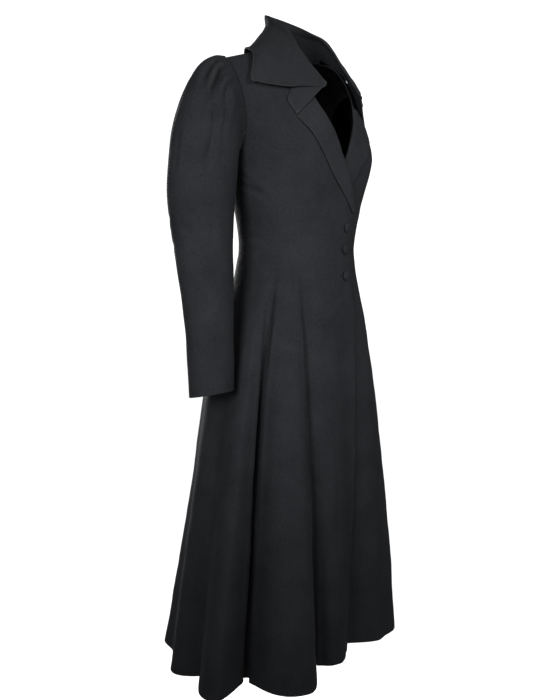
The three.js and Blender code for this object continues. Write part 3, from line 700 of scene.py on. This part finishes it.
def stitches(name, starts, ends, radius):
    """Short thread stitches, each a thin closed spindle from a start to an end."""
    starts, ends = np.asarray(starts), np.asarray(ends)
    along = unit(ends - starts)
    guide = np.where(np.abs(along[:, 2:]) > 0.9, [[1.0, 0, 0]], [[0, 0, 1.0]])
    side = unit(np.cross(along, guide))
    up = np.cross(along, side)
    turn = np.arange(STITCH_SIDES) * 2 * math.pi / STITCH_SIDES
    ring = side[:, None] * np.cos(turn)[None, :, None] + up[:, None] * np.sin(turn)[None, :, None]
    points = [starts[:, None]]
    for share, wide in ((0.12, 0.75), (0.5, 1.0), (0.88, 0.75)):
        points.append(lerp(starts, ends, share)[:, None] + ring * radius * wide)
    points.append(ends[:, None])
    points = np.concatenate(points, 1)
    faces = []
    for j in range(STITCH_SIDES):
        k = (j + 1) % STITCH_SIDES
        faces.append((0, 1 + k, 1 + j))
        for low in (1, 1 + STITCH_SIDES):
            faces.append((low + j, low + k, low + k + STITCH_SIDES))
            faces.append((low + j, low + k + STITCH_SIDES, low + j + STITCH_SIDES))
        top = 1 + 2 * STITCH_SIDES
        faces.append((top + j, top + k, top + STITCH_SIDES))
    faces = np.array(faces)
    size = points.shape[1]
    every = (faces[None] + np.arange(len(points))[:, None, None] * size).reshape(-1, 3)
    return piece_from(name, points.reshape(-1, 3), every.tolist())


def stitch_row(name, line, pitch=3.4, length=2.5, radius=0.28):
    """Even stitches along a line that lies on the cloth."""
    far = np.concatenate([[0], np.cumsum(np.linalg.norm(np.diff(line, axis=0), axis=1))])
    at = np.arange(pitch, far[-1] - pitch, pitch)

    def place(distance):
        return np.stack([np.interp(distance, far, line[:, k]) for k in range(3)], -1)

    row = stitches(name, place(at - length / 2), place(at + length / 2), radius)
    return dress(row, None, thread)


def inset_line(face, distance):
    """The line on a face that runs at a distance inside its last row."""
    edge_up = face[::-1]
    steps = np.linalg.norm(np.diff(edge_up, axis=0), axis=-1)
    far = np.concatenate([np.zeros((1, face.shape[1])), np.cumsum(steps, 0)])
    line = []
    for j in range(face.shape[1]):
        line.append([np.interp(distance, far[:, j], edge_up[:, j, k]) for k in range(3)])
    return np.array(line)


def stitched(grid, distance, depth=0.35, width=1.3):
    """Presses the shallow line of a row of stitches into a grid, inside its last row."""
    line = inset_line(grid, distance)
    return grid + grid_normals(grid) * crease(grid, line, depth, width, (1, 1))[..., None]


# --- Body
def spread(values):
    return np.concatenate([np.atleast_1d(v) for v in values])


LOW_ROWS = spread([
    HEM_Z + np.array([0, 0.8, 2, 4, 8, 14]),
    np.arange(HEM_Z + 21, -420, 7.2),
    np.arange(-420, UNDERARM_Z, 5.0),
    UNDERARM_Z,
])
ARCH_ROWS = spread([np.arange(0.02, 0.9, 0.024), 0.92, 0.945, 0.965, 0.98, 0.99, 0.996, 1.0])
SIDE_ROWS = spread([LOW_ROWS, np.arange(0.02, SEAM_TOP - 0.04, 0.024), SEAM_TOP - 0.03, SEAM_TOP - 0.02])
FULL_ROWS = spread([LOW_ROWS, ARCH_ROWS])

# Creases of the body: line as (angle, level) pairs, depth, width, strength left at the ends
BODY_CREASES = [
    # sharp bottoms of the photographed folds
    ([(-42, -400), (-36, -520), (-30, -700), (-25.5, -900), (-21, HEM_Z)], 5.5, 6, (0.1, 1)),
    ([(-65.5, -414), (-63.7, -520), (-62.2, -760), (-61.3, -960), (-60.5, HEM_Z)], 10.0, 6.5, (0, 1)),
    ([(-87, -700), (-90, -900), (-93, HEM_Z)], 3.0, 8, (0.0, 1)),
    ([(-54, -404), (-50, -440), (-46, -480)], 1.6, 5, (0.5, 0)),
    ([(-14.5, -640), (-14, -753), (-14.4, -887), (-11.5, -1000), (-9, HEM_Z)], -1.6, 9, (0, 1)),
    # drag lines of the bodice
    ([(-99, -262), (-88, -272), (-76, -284), (-66, -294)], 2.4, 6, (0.6, 0)),
    ([(-104, -244), (-92, -252), (-80, -264)], 1.8, 5, (0.8, 0)),
    ([(-68, -203), (-62, -207), (-55, -211), (-46, -212)], 2.0, 5, (0.1, 0)),
    ([(66, -214), (57, -210), (47, -213)], 1.0, 6, (0.3, 0)),
    ([(97, -266), (86, -276), (74, -287)], 1.4, 7, (0.6, 0)),
    # soft breaks above the waist
    ([(-112, -352), (-95, -362), (-80, -366), (-66, -372)], 1.6, 6, (0.2, 0)),
    ([(-108, -384), (-90, -388), (-72, -394)], 1.4, 6, (0.2, 0)),
    ([(110, -350), (95, -360), (78, -368)], 1.2, 6, (0.2, 0)),
    ([(150, -356), (165, -364), (178, -362)], 1.2, 7, (0, 0)),
    ([(-148, -350), (-164, -358), (-178, -352)], 1.1, 7, (0, 0)),
    ([(128, -392), (146, -398), (160, -394)], 1.0, 7, (0, 0)),
    ([(-124, -386), (-142, -394), (-158, -392)], 1.0, 7, (0, 0)),
]


def body_creased(grid):
    moved = ripple(grid, 190, 0.7, 11) + ripple(grid, 70, 0.25, 12)
    for places, depth, width, ends in BODY_CREASES:
        angles, levels = np.array(places, float).T
        line = line_of(body_point(angles, levels))
        moved += crease(grid, line, depth, width, ends)
    return moved


def panel(name, levels, edge_a, edge_b, columns, lift=None):
    start = edge_a(levels)
    end = edge_b(levels)
    middle = body_point((start + end) / 2, levels)
    radius = np.maximum(60, np.hypot(middle[:, 0], middle[:, 1]))
    gap = np.degrees(SEAM_GAP / 2 / radius)
    start = start + gap
    end = end - gap
    width = np.maximum(12.0, np.radians(np.abs(end - start)) * radius)
    places = turned_edges(columns, width)
    angle = lerp(start[:, None], end[:, None], places)
    level = np.repeat(levels[:, None], angle.shape[1], 1)
    raised = lift(angle, level) if lift else np.zeros(angle.shape)
    grid = body_point(angle, level, raised)
    normals = body_normal(angle, level, raised)
    top = levels >= 0.9999
    normals[top, :, 1] = 0
    normals = unit(normals)
    moved = body_creased(grid)
    under = np.where(raised < 0, 0.3, 1.0)
    fade = np.where(is_arch(levels), 1 - smooth((levels - 0.85) / 0.15), 1)[:, None]
    outer = grid + normals * (moved * under * fade)[..., None]
    skin = grid_normals(outer)
    skin[top] = normals[top]
    inner = outer - skin * WALL
    dipped = outer + skin * edge_dip(places, width, 0.14, 0.8)[..., None]
    return shell(name, dipped, inner)


def back_edge(level):
    return np.where(level > BACK_NECK, neck_angle(level), 180.0)


right_princess = long_edge("right_princess", "front", -1)
right_back = long_edge("right_back", "back", -1)
left_princess = long_edge("left_princess", "front", 1)
left_back = long_edge("left_back", "back", 1)
PANELS = [
    ("front_right", FULL_ROWS, right_princess, front_edge, 44, None),
    ("front_left", FULL_ROWS, lambda level: -front_edge(level), left_princess, 44, under_lift),
    ("side_front_right", SIDE_ROWS, side_edge("right_side", "front", -1), right_princess, 44, None),
    ("side_front_left", SIDE_ROWS, left_princess, side_edge("left_side", "front", 1), 36, None),
    ("side_back_right", SIDE_ROWS, right_back, side_edge("right_side", "back", -1), 40, None),
    ("side_back_left", SIDE_ROWS, side_edge("left_side", "back", 1), left_back, 34, None),
    ("back_right", FULL_ROWS, lambda level: -back_edge(level), right_back, 56, None),
    ("back_left", FULL_ROWS, left_back, back_edge, 56, None),
]
for panel_name, rows, edge_a, edge_b, columns, lift in PANELS:
    piece = panel("cloth_" + panel_name, rows, edge_a, edge_b, columns, lift)
    dress(piece, panel_name, coat_wool, lining)


# --- Lapels
def lapel_grid(foot, lift, rows=70):
    """Middle points of a lapel drawn on the right side, from its edge to the roll line."""
    t = np.linspace(0, 1, rows)
    made = []
    for past, share, height in LAPEL_SECTION:
        top = lerp(GORGE_AT_ROLL, GORGE_AT_EDGE, share)
        key = lerp(foot - UNDERARM_Z, top * 200, t)
        level = np.where(key > 0, key / 200, key + UNDERARM_Z)
        on_edge = body_point(front_edge(level), level)
        reach = read(LAPEL_EDGE, "z", "reach", on_edge[:, 2])
        angle = angle_of(on_edge[:, 0] + past - reach * share, level)
        taper = np.minimum(1, reach / 14)
        raised = lift(angle, level)
        up = height * lerp(0.75, 1, taper) if height > 0 else height * np.ones(rows)
        point = body_point(angle, level, raised)
        made.append(point + body_normal(angle, level, raised) * up[:, None])
    grid = np.stack(made[::-1], 1)
    return spline(grid, [14, 12, 12, 4, 3, 3], axis=1)


def no_lift(angle, level):
    return np.zeros(np.broadcast(angle, level).shape)


def under_right_front(grid):
    """Ends the left lapel where the right front covers it."""
    rows = []
    for row in grid:
        edge_x = np.interp(row[:, 2], [-318, -274, -228, -180], [42, 22, 0, -24])
        shown = row[:, 0] > edge_x + 0.6
        if shown.sum() < 4:
            continue
        kept = row[shown]
        length = np.concatenate([[0], np.cumsum(np.linalg.norm(np.diff(kept, axis=0), axis=1))])
        even = np.linspace(0, length[-1], len(row))
        rows.append(np.stack([np.interp(even, length, kept[:, k]) for k in range(3)], 1))
    return np.array(rows)


right_lapel = lapel_grid(LAPEL_FOOT, no_lift)
right_lapel = right_lapel + grid_normals(right_lapel) * ripple(right_lapel, 60, 0.35, 21)[..., None]
dress(
    sheet_from("cloth_lapel_right", right_lapel), "lapel_right", collar_wool_painted_light
)
left_lapel = mirror_x(lapel_grid(LEFT_LAPEL_FOOT, lambda a, level: under_lift(-a, level)))[:, ::-1]
left_lapel = under_right_front(left_lapel)
left_lapel = left_lapel + grid_normals(left_lapel) * ripple(left_lapel, 60, 0.35, 22)[..., None]
dress(
    sheet_from("cloth_lapel_left", left_lapel), "lapel_left", collar_wool_painted_light
)


# --- Collar
COLLAR_TURNED_IN = 3.5  # how far the foot of the collar reaches past the neck seam


def on_front(x, z, off):
    """Points of the right front at an x and a height above the underarm, moved out."""
    x, z = np.asarray(x, float), np.asarray(z, float)
    start = np.zeros(x.shape)
    level = bisect(start, start + 1, lambda v: body_point(angle_of(x, v), v)[..., 2] < z, 20)
    angle = angle_of(x, level)
    return body_point(angle, level) + body_normal(angle, level) * np.asarray(off)[..., None]


def on_neckline(row):
    level = row["neck"]
    angle = front_edge(level) if row.get("front") else -neck_angle(level)
    point = body_point(angle, level) - body_normal(angle, level) * WALL / 2
    return point + np.array([0, 0, NECK_SEAM_UP])


def keep_off_front(points):
    """Moves points of the fall forward where the chest would touch them."""
    x, y, z = points.T
    shoulder = body_point(angle_of(x, 1.0), 1.0)[:, 2]
    chest = on_front(x, z, np.full(x.shape, FALL_CLEAR))[:, 1]
    free = (z > shoulder - 1) | (y > 0)
    return np.stack([x, np.where(free, y, np.minimum(y, chest)), z], -1)


def collar_grid():
    right = []
    for row in COLLAR:
        base = on_neckline(row) if "neck" in row else on_front(*row["base"], row["off"])
        edge = row["edge"]
        if "edge_off" in row:
            edge = on_front(*edge, row["edge_off"])
        right.append((base, np.array(row["fold"], float), np.array(edge, float), row["bow"]))
    left = [(mirror_x(b), mirror_x(f), mirror_x(e), w) for b, f, e, w in right[-2::-1]]
    stations = right + left
    up = np.array([0.0, 0.0, 1.0])
    grid = []
    for i, (base, fold, edge, bow) in enumerate(stations):
        before = stations[max(0, i - 1)][1]
        after = stations[min(len(stations) - 1, i + 1)][1]
        along = unit(after - before)
        out = -unit(np.cross(up, along))
        out = unit(out - along * (out @ along))
        bowed = unit(out + up) * bow
        inner = fold - out * FOLD_RADIUS - up * FOLD_RADIUS
        outer = fold + out * FOLD_RADIUS - up * FOLD_RADIUS
        points = [
            base,
            (base + inner) / 2,
            inner,
            fold,
            outer,
            lerp(outer, edge, 0.33) + bowed * 0.75,
            lerp(outer, edge, 0.67) + bowed * 0.85,
            edge,
        ]
        grid.append(points)
    grid = np.swapaxes(np.array(grid), 0, 1)
    grid[0] += unit(grid[0] - grid[1]) * COLLAR_TURNED_IN
    grid[5] = keep_off_front(grid[5])
    grid[6] = keep_off_front(grid[6])
    return grid


COLLAR_SPANS = [4, 6, 4, 4, 10, 12, 12]
FALL_START = 20  # first of those rows that lies in the fall
EDGE_STITCH = 5.0  # how far in from the edge the collar is stitched
# Creases of the collar, on its own face: points, depth, width, strength left at the ends
COLLAR_CREASES = [
    ([(-130, -35, -36), (-132, -42, -57), (-139, -47, -77), (-140, -46, -92)], 1.8, 7, (0, 0.4)),
    ([(-98, -92, -66), (-88, -104, -74), (-76, -112, -82)], 0.9, 7, (0, 0)),
    ([(112, -60, -30), (124, -50, -56), (132, -48, -80)], 1.2, 8, (0, 0.3)),
]


def even_fall(grid):
    """Takes the unevenness out of the fall along the neck, and keeps it off the chest."""
    fall = grid[FALL_START:-1].copy()
    for _ in range(70):
        fall[:, 1:-1] = (fall[:, :-2] + 2 * fall[:, 1:-1] + fall[:, 2:]) / 4
    whole = np.concatenate([grid[:FALL_START], fall, grid[-1:]])
    for _ in range(6):
        middle = (whole[FALL_START - 1:-2] + whole[FALL_START:-1] + whole[FALL_START + 1:]) / 3
        whole[FALL_START:-1] = middle
    flat = whole[FALL_START:-1].reshape(-1, 3)
    right = flat * np.where(flat[:, :1] > 0, [[-1, 1, 1]], [[1, 1, 1]])
    near = (right[:, 2] < -34) & (right[:, 1] < 0)
    chest = on_front(right[near, 0], right[near, 2], np.full(near.sum(), 2.2))[:, 1]
    share = smooth((-34 - right[near, 2]) / 26) * smooth((-right[near, 0] - 84) / 20)
    flat[near, 1] = lerp(flat[near, 1], np.minimum(flat[near, 1], chest), share)
    whole[FALL_START:-1] = flat.reshape(whole[FALL_START:-1].shape)
    return whole


def creased(grid, creases):
    normals = grid_normals(grid)
    moved = np.zeros(grid.shape[:2])
    for points, depth, width, ends in creases:
        moved += crease(grid, line_of(points), depth, width, ends)
    return grid + normals * moved[..., None]


collar_fine = spline(collar_grid(), COLLAR_SPANS, axis=0)
collar_fine = spline(collar_fine, [8] * 20, axis=1)
collar_fine = even_fall(collar_fine)
collar_fine = creased(collar_fine, COLLAR_CREASES)
collar_fine = collar_fine + grid_normals(collar_fine) * ripple(collar_fine, 80, 0.5, 31)[..., None]
collar_fine = stitched(collar_fine, EDGE_STITCH)
dress(
    sheet_from("cloth_collar", collar_fine), "collar", collar_wool_painted_light
)
collar_face = collar_fine + grid_normals(collar_fine) * (WALL / 2 + 0.05)
stitch_row("collar_edge_stitching", inset_line(collar_face, EDGE_STITCH))


# --- Sleeves
def armhole_points(turn):
    share = (1 - np.cos(np.radians(turn))) / 2
    level = np.arcsin(np.clip(share, 0, 1)) * 2 / math.pi
    ahead = read(ARMHOLE, "level", "front", level)
    behind = read(ARMHOLE, "level", "back", level)
    angle = -np.where(turn <= 180, ahead, behind)
    p = body_point(angle, level)
    n = body_normal(angle, level)
    sideways = smooth(level / 0.25)
    gap = unit(np.stack([-sideways, np.zeros_like(sideways), 1 - sideways], -1))
    clear = lerp(2 * SLEEVE_CLEAR, SLEEVE_CLEAR, sideways)
    return p + n * clear[:, None] + gap * ARMHOLE_GAP


def sleeve_grid(turns, is_left):
    """Outer face of a sleeve drawn on the right side, without its folds."""
    turns = np.asarray(turns, float) % 360
    t = np.radians(turns)
    rows = [armhole_points(turns)]
    for values in SLEEVE_ROWS:
        tilt = CUFF_FRONT_UP if values is SLEEVE_ROWS[-1] else 0
        size = dict(zip(SLEEVE_COLUMNS, values))
        share = (1 - np.cos(t)) / 2
        depth = np.where(np.sin(t) > 0, size["ahead"], size["behind"])
        row = np.stack([
            -lerp(size["in"], size["out"], share),
            size["y"] - depth * np.sin(t),
            lerp(size["in_z"], size["out_z"], share) + tilt * np.sin(t),
        ], -1)
        if is_left:
            row = row + np.array([size["left_in"], size["left_back"], 0])
        rows.append(row)
    return np.array(rows)


SLEEVE_SPANS = [6, 4, 5, 6, 7, 7, 8, 9, 9, 10, 10, 10, 36]
# Creases of the right sleeve where the photograph shows them: points on its face, depth,
# width, strength left at the ends. A depth below 0 is a ridge.
SHOWN_CREASES = [
    (
        [(-222, -9, -76), (-230, -14, -104), (-240, -16, -132), (-246, -18, -164)],
        5.2, 6.5, (0.5, 0.5),
    ),
    ([(-246, -18, -160), (-252, -20, -194), (-261, -18, -229), (-270, -15, -260)], 4.4, 7.5, (0.8, 0)),
    ([(-240, -1, -70), (-252, -3, -101), (-260, -6, -133), (-270, -6, -166)], 3.4, 6, (0.5, 0)),
    ([(-287, 25, -176), (-293, 24, -212), (-296, 25, -238), (-298, 27, -272)], 2.2, 4.5, (0, 0)),
    ([(-214, -14, -84), (-222, -23, -147), (-232, -25, -183), (-237, -25, -218)], 3.0, 6.5, (0.5, 0)),
    ([(-296, 22, -346), (-292, 7, -357), (-282, -8, -369)], 2.8, 5.5, (0.3, 0)),
    ([(-291, 24, -413), (-288, 2, -406), (-275, -15, -414)], 1.3, 6, (0.2, 0)),
    ([(-286, 0, -553), (-284, -11, -562), (-280, -21, -569)], 1.4, 4, (0, 0)),
    ([(-262, -17, -300), (-258, -21, -360), (-256, -24, -420)], 1.0, 9, (0, 0)),
]
# Creases on the sides that the photograph doesn't show: line as (turn, row) pairs
SLEEVE_CREASES = [
    ([(210, 0.6), (206, 2), (200, 4)], 2.0, 5, (0.4, 0)),
    ([(232, 0.6), (229, 2), (226, 4.5)], 2.6, 5, (0.4, 0)),
    ([(255, 0.6), (252, 2), (250, 4)], 1.6, 5, (0.4, 0)),
    ([(250, 8.0), (226, 8.5), (204, 8.3)], 1.4, 6, (0, 0)),
    ([(240, 9.4), (214, 9.2), (200, 9.5)], 1.1, 6, (0, 0)),
]
# The left sleeve's own, in place of those that the right one shows
LEFT_CREASES = [
    ([(128, 0.6), (133, 2), (137, 4), (142, 5.5)], 3.2, 5, (0.4, 0)),
    ([(160, 0.6), (163, 2), (166, 3.5), (170, 5)], 1.6, 5, (0.4, 0)),
    ([(108, 0.6), (107, 2), (108, 3.5)], 1.6, 4, (0.4, 0)),
    ([(196, 8.3), (174, 8.6), (150, 8.2)], 1.5, 6, (0, 0)),
]


CUFF_STITCH = 9.0  # how far up from its edge a cuff is stitched
SLEEVE_TURNED_IN = 3.2  # how far the top of a sleeve reaches in under the armhole's edge


def sleeve(name, start, end, columns, is_left):
    turns = np.linspace(start + 0.25, end - 0.25, columns + 1)
    coarse = sleeve_grid(turns, is_left)
    grid = spline(coarse, SLEEVE_SPANS, axis=0)
    grid[0] -= unit(grid[2] - grid[0]) * SLEEVE_TURNED_IN
    counts = np.cumsum([0] + SLEEVE_SPANS)
    at_row = np.interp(np.arange(len(grid)), counts, np.arange(len(counts)))
    normals = grid_normals(grid)
    moved = ripple(grid, 130, 0.8, 41 + is_left)
    for at, out, half, deepest, reach in SLEEVE_FOLDS:
        away = (turns - at + 180) % 360 - 180
        moved += out * hump(away / half)[None] * hump((at_row - deepest) / reach)[:, None]
    if not is_left:
        for points, depth, width, ends in SHOWN_CREASES:
            moved += crease(grid, line_of(points), depth, width, ends)
    drawn = SLEEVE_CREASES + (LEFT_CREASES if is_left else [])
    for places, depth, width, ends in drawn:
        crease_turns, crease_rows = np.array(places, float).T
        whole = spline(sleeve_grid(crease_turns, is_left), SLEEVE_SPANS, axis=0)
        found = [
            whole[int(round(np.interp(r, np.arange(len(counts)), counts))), k]
            for k, r in enumerate(crease_rows)
        ]
        moved += crease(grid, line_of(found), depth, width, ends)
    moved *= smooth(at_row / 1.2)[:, None] * smooth((13.2 - at_row) / 1.5)[:, None]
    inner = stitched(grid + normals * moved[..., None], CUFF_STITCH)
    skin = grid_normals(inner)
    outer = inner + skin * WALL
    row = inset_line(outer + skin * 0.05, CUFF_STITCH)
    if is_left:
        row = mirror_x(row)
        piece = shell(name, mirror_x(outer)[:, ::-1], mirror_x(inner)[:, ::-1])
    else:
        piece = shell(name, outer, inner)
    stitch_row(name.replace("cloth", "cuff_stitching"), row)
    return piece


for side, is_left in (("right", False), ("left", True)):
    for part, start, end, columns in (
        ("upper", SLEEVE_SEAM_FRONT, SLEEVE_SEAM_BACK, 84),
        ("under", SLEEVE_SEAM_BACK - 360, SLEEVE_SEAM_FRONT, 34),
    ):
        node = f"sleeve_{part}_{side}"
        piece = sleeve("cloth_" + node, start, end, columns, is_left)
        dress(piece, node, coat_wool, lining)


# --- Buttons
def button(name, at, normal, seed):
    """A domed button with wool stretched over it and gathered behind."""
    profile = np.array([
        (0, 0.2), (4, 0), (7.4, 0.2), (8.7, 1.1), (9, 2.1), (8.8, 3), (8.2, 3.9), (7, 4.8),
        (5.4, 5.4), (3.6, 5.8), (1.8, 5.97), (0.02, 6),
    ])
    profile = spline(profile, [2] * 11)
    sides = 48
    turn = np.arange(sides) * 2 * math.pi / sides
    draw = np.random.RandomState(seed)
    wobble = 1 + 0.012 * np.sin(3 * turn + draw.uniform(0, 6)) + 0.006 * np.sin(7 * turn)
    radius = profile[:, 0][:, None] * wobble[None]
    tuck = 0.16 * np.sin(turn * 16)[None] * np.exp(-((profile[:, 1] - 1.2) / 1.0) ** 2)[:, None]
    radius = radius + tuck * (profile[:, 0] > 5)[:, None]
    points = np.stack([
        radius * np.cos(turn), radius * np.sin(turn), np.repeat(profile[:, 1:], sides, 1)
    ], -1)
    side = unit(np.cross(normal, [0, 0, 1.0]))
    up = np.cross(side, normal)
    basis = np.stack([side, up, normal])
    points = points.reshape(-1, 3) @ basis + at
    faces = []
    for i in range(len(profile) - 1):
        for j in range(sides):
            k = (j + 1) % sides
            faces.append((i * sides + j, i * sides + k, (i + 1) * sides + k, (i + 1) * sides + j))
    faces.append(tuple(range(sides))[::-1])
    faces.append(tuple(range((len(profile) - 1) * sides, len(profile) * sides)))
    local = np.stack([(points - at) @ side, (points - at) @ up], -1) * MM
    return piece_from(name, points, faces, local)


HOLE_HALF = 8.75
HOLE_RISE = 0.5
HOLE_PITCH = 0.8
HOLE_BACK = 4.25  # how far the middle of a buttonhole lies behind its button


def buttonhole(name, x, z):
    """A worked buttonhole: thread all round a narrow opening, half under its button; a dark lining rod
    sunk along the opening is painted shade.
    """
    flat = np.arange(-HOLE_HALF, HOLE_HALF, HOLE_PITCH)
    rise = np.full(flat.shape, HOLE_RISE)
    arc = np.linspace(-math.pi / 2, math.pi / 2, 7)
    ring_x = np.concatenate([
        flat, HOLE_HALF + HOLE_RISE * np.cos(arc[::-1]), flat[::-1], -HOLE_HALF - HOLE_RISE * np.cos(arc)
    ])
    ring_z = np.concatenate([rise, HOLE_RISE * np.sin(arc[::-1]), -rise, HOLE_RISE * np.sin(arc)])
    out_x = np.concatenate([0 * flat, np.cos(arc[::-1]), 0 * flat, -np.cos(arc)])
    out_z = np.concatenate([0 * flat + 1, np.sin(arc[::-1]), 0 * flat - 1, np.sin(arc)])

    def on_cloth(reach, lift):
        place_z = z + ring_z + out_z * reach
        angle = angle_of(x - HOLE_BACK + ring_x + out_x * reach, place_z)
        return body_point(angle, place_z) + body_normal(angle, place_z) * lift

    made = stitches(name, on_cloth(-0.35, 0.25), on_cloth(1.5, 0.15), 0.42)
    dress(made, None, thread)
    # A dark lining rod sunk along the opening: painted shade for the shadowed inside of the buttonhole.
    ends = on_cloth(0, -0.3)
    painted_shade_slit = stitches(name + "_slit", ends[-4:-3], ends[len(flat) + 3:len(flat) + 4], 0.75)
    dress(painted_shade_slit, None, lining)


for count, (z, x) in enumerate(BUTTONS, 1):
    buttonhole(f"buttonhole_{count}", x, z)
    angle = angle_of(x, z)
    normal = body_normal(angle, z)
    at = body_point(angle, z) + normal * BUTTON_CLEAR
    piece = button(f"covered_button_{count}", at, normal, 60 + count)
    dress(piece, f"button_{count}", coat_wool)


# --- Floor, light and camera
FLOOR_Z = -1.45


def make_floor():
    mesh = bpy.data.meshes.new("floor")
    size = 14.0
    corners = [(-size, -size), (size, -size), (size, size), (-size, size)]
    mesh.from_pydata([(x, y, FLOOR_Z) for x, y in corners], [], [(0, 1, 2, 3)])
    floor = bpy.data.objects.new("floor", mesh)
    place_in_scene(floor)
    material, tree, shader = nodes_of("pale_floor")
    grain = noise(tree, tree.nodes.new("ShaderNodeTexCoord").outputs["Object"], 3.0, 2.0)
    colour = tone_ramp(tree, grain, (0.8, 0.8, 0.8), (0.84, 0.84, 0.84))
    tree.links.new(colour, shader.inputs["Base Color"])
    shader.inputs["Roughness"].default_value = 0.9
    mesh.materials.append(material)


def area_light(name, place, target, size, power, spread=180):
    light = bpy.data.lights.new(name, "AREA")
    light.shape = "RECTANGLE"
    light.size, light.size_y = size
    light.energy = power
    light.spread = math.radians(spread)
    lamp = bpy.data.objects.new(name, light)
    lamp.location = place
    aim = Vector(target) - Vector(place)
    lamp.rotation_euler = aim.to_track_quat("-Z", "Y").to_euler()
    place_in_scene(lamp)


make_floor()
world = bpy.data.worlds.new("studio")
world.use_nodes = True
world.node_tree.nodes["Background"].inputs["Color"].default_value = (1, 1, 1, 1)
world.node_tree.nodes["Background"].inputs["Strength"].default_value = 1.25
bpy.context.scene.world = world
area_light("key", (-2.2, -0.8, -0.1), (-0.12, -0.08, -0.4), (0.7, 0.7), 12.9, 43)
area_light("front", (-0.35, -2.3, 0.3), (-0.07, -0.1, -0.33), (0.8, 0.8), 12.4, 42)
area_light("behind", (1.1, 2.5, 0.2), (0, 0, -0.45), (1.0, 1.0), 30, 55)

CAMERA_PLACE = Vector((-1.4371, -1.1654, -0.4790))
CAMERA_AIM = Vector((0.76496, 0.64188, -0.05312))
lens = bpy.data.cameras.new("camera")
lens.sensor_width = 36
lens.lens = 48.34
camera = bpy.data.objects.new("camera", lens)
camera.location = CAMERA_PLACE
camera.rotation_euler = CAMERA_AIM.to_track_quat("-Z", "Y").to_euler()
place_in_scene(camera)
bpy.context.scene.camera = camera
bpy.context.scene.view_settings.view_transform = "Standard"
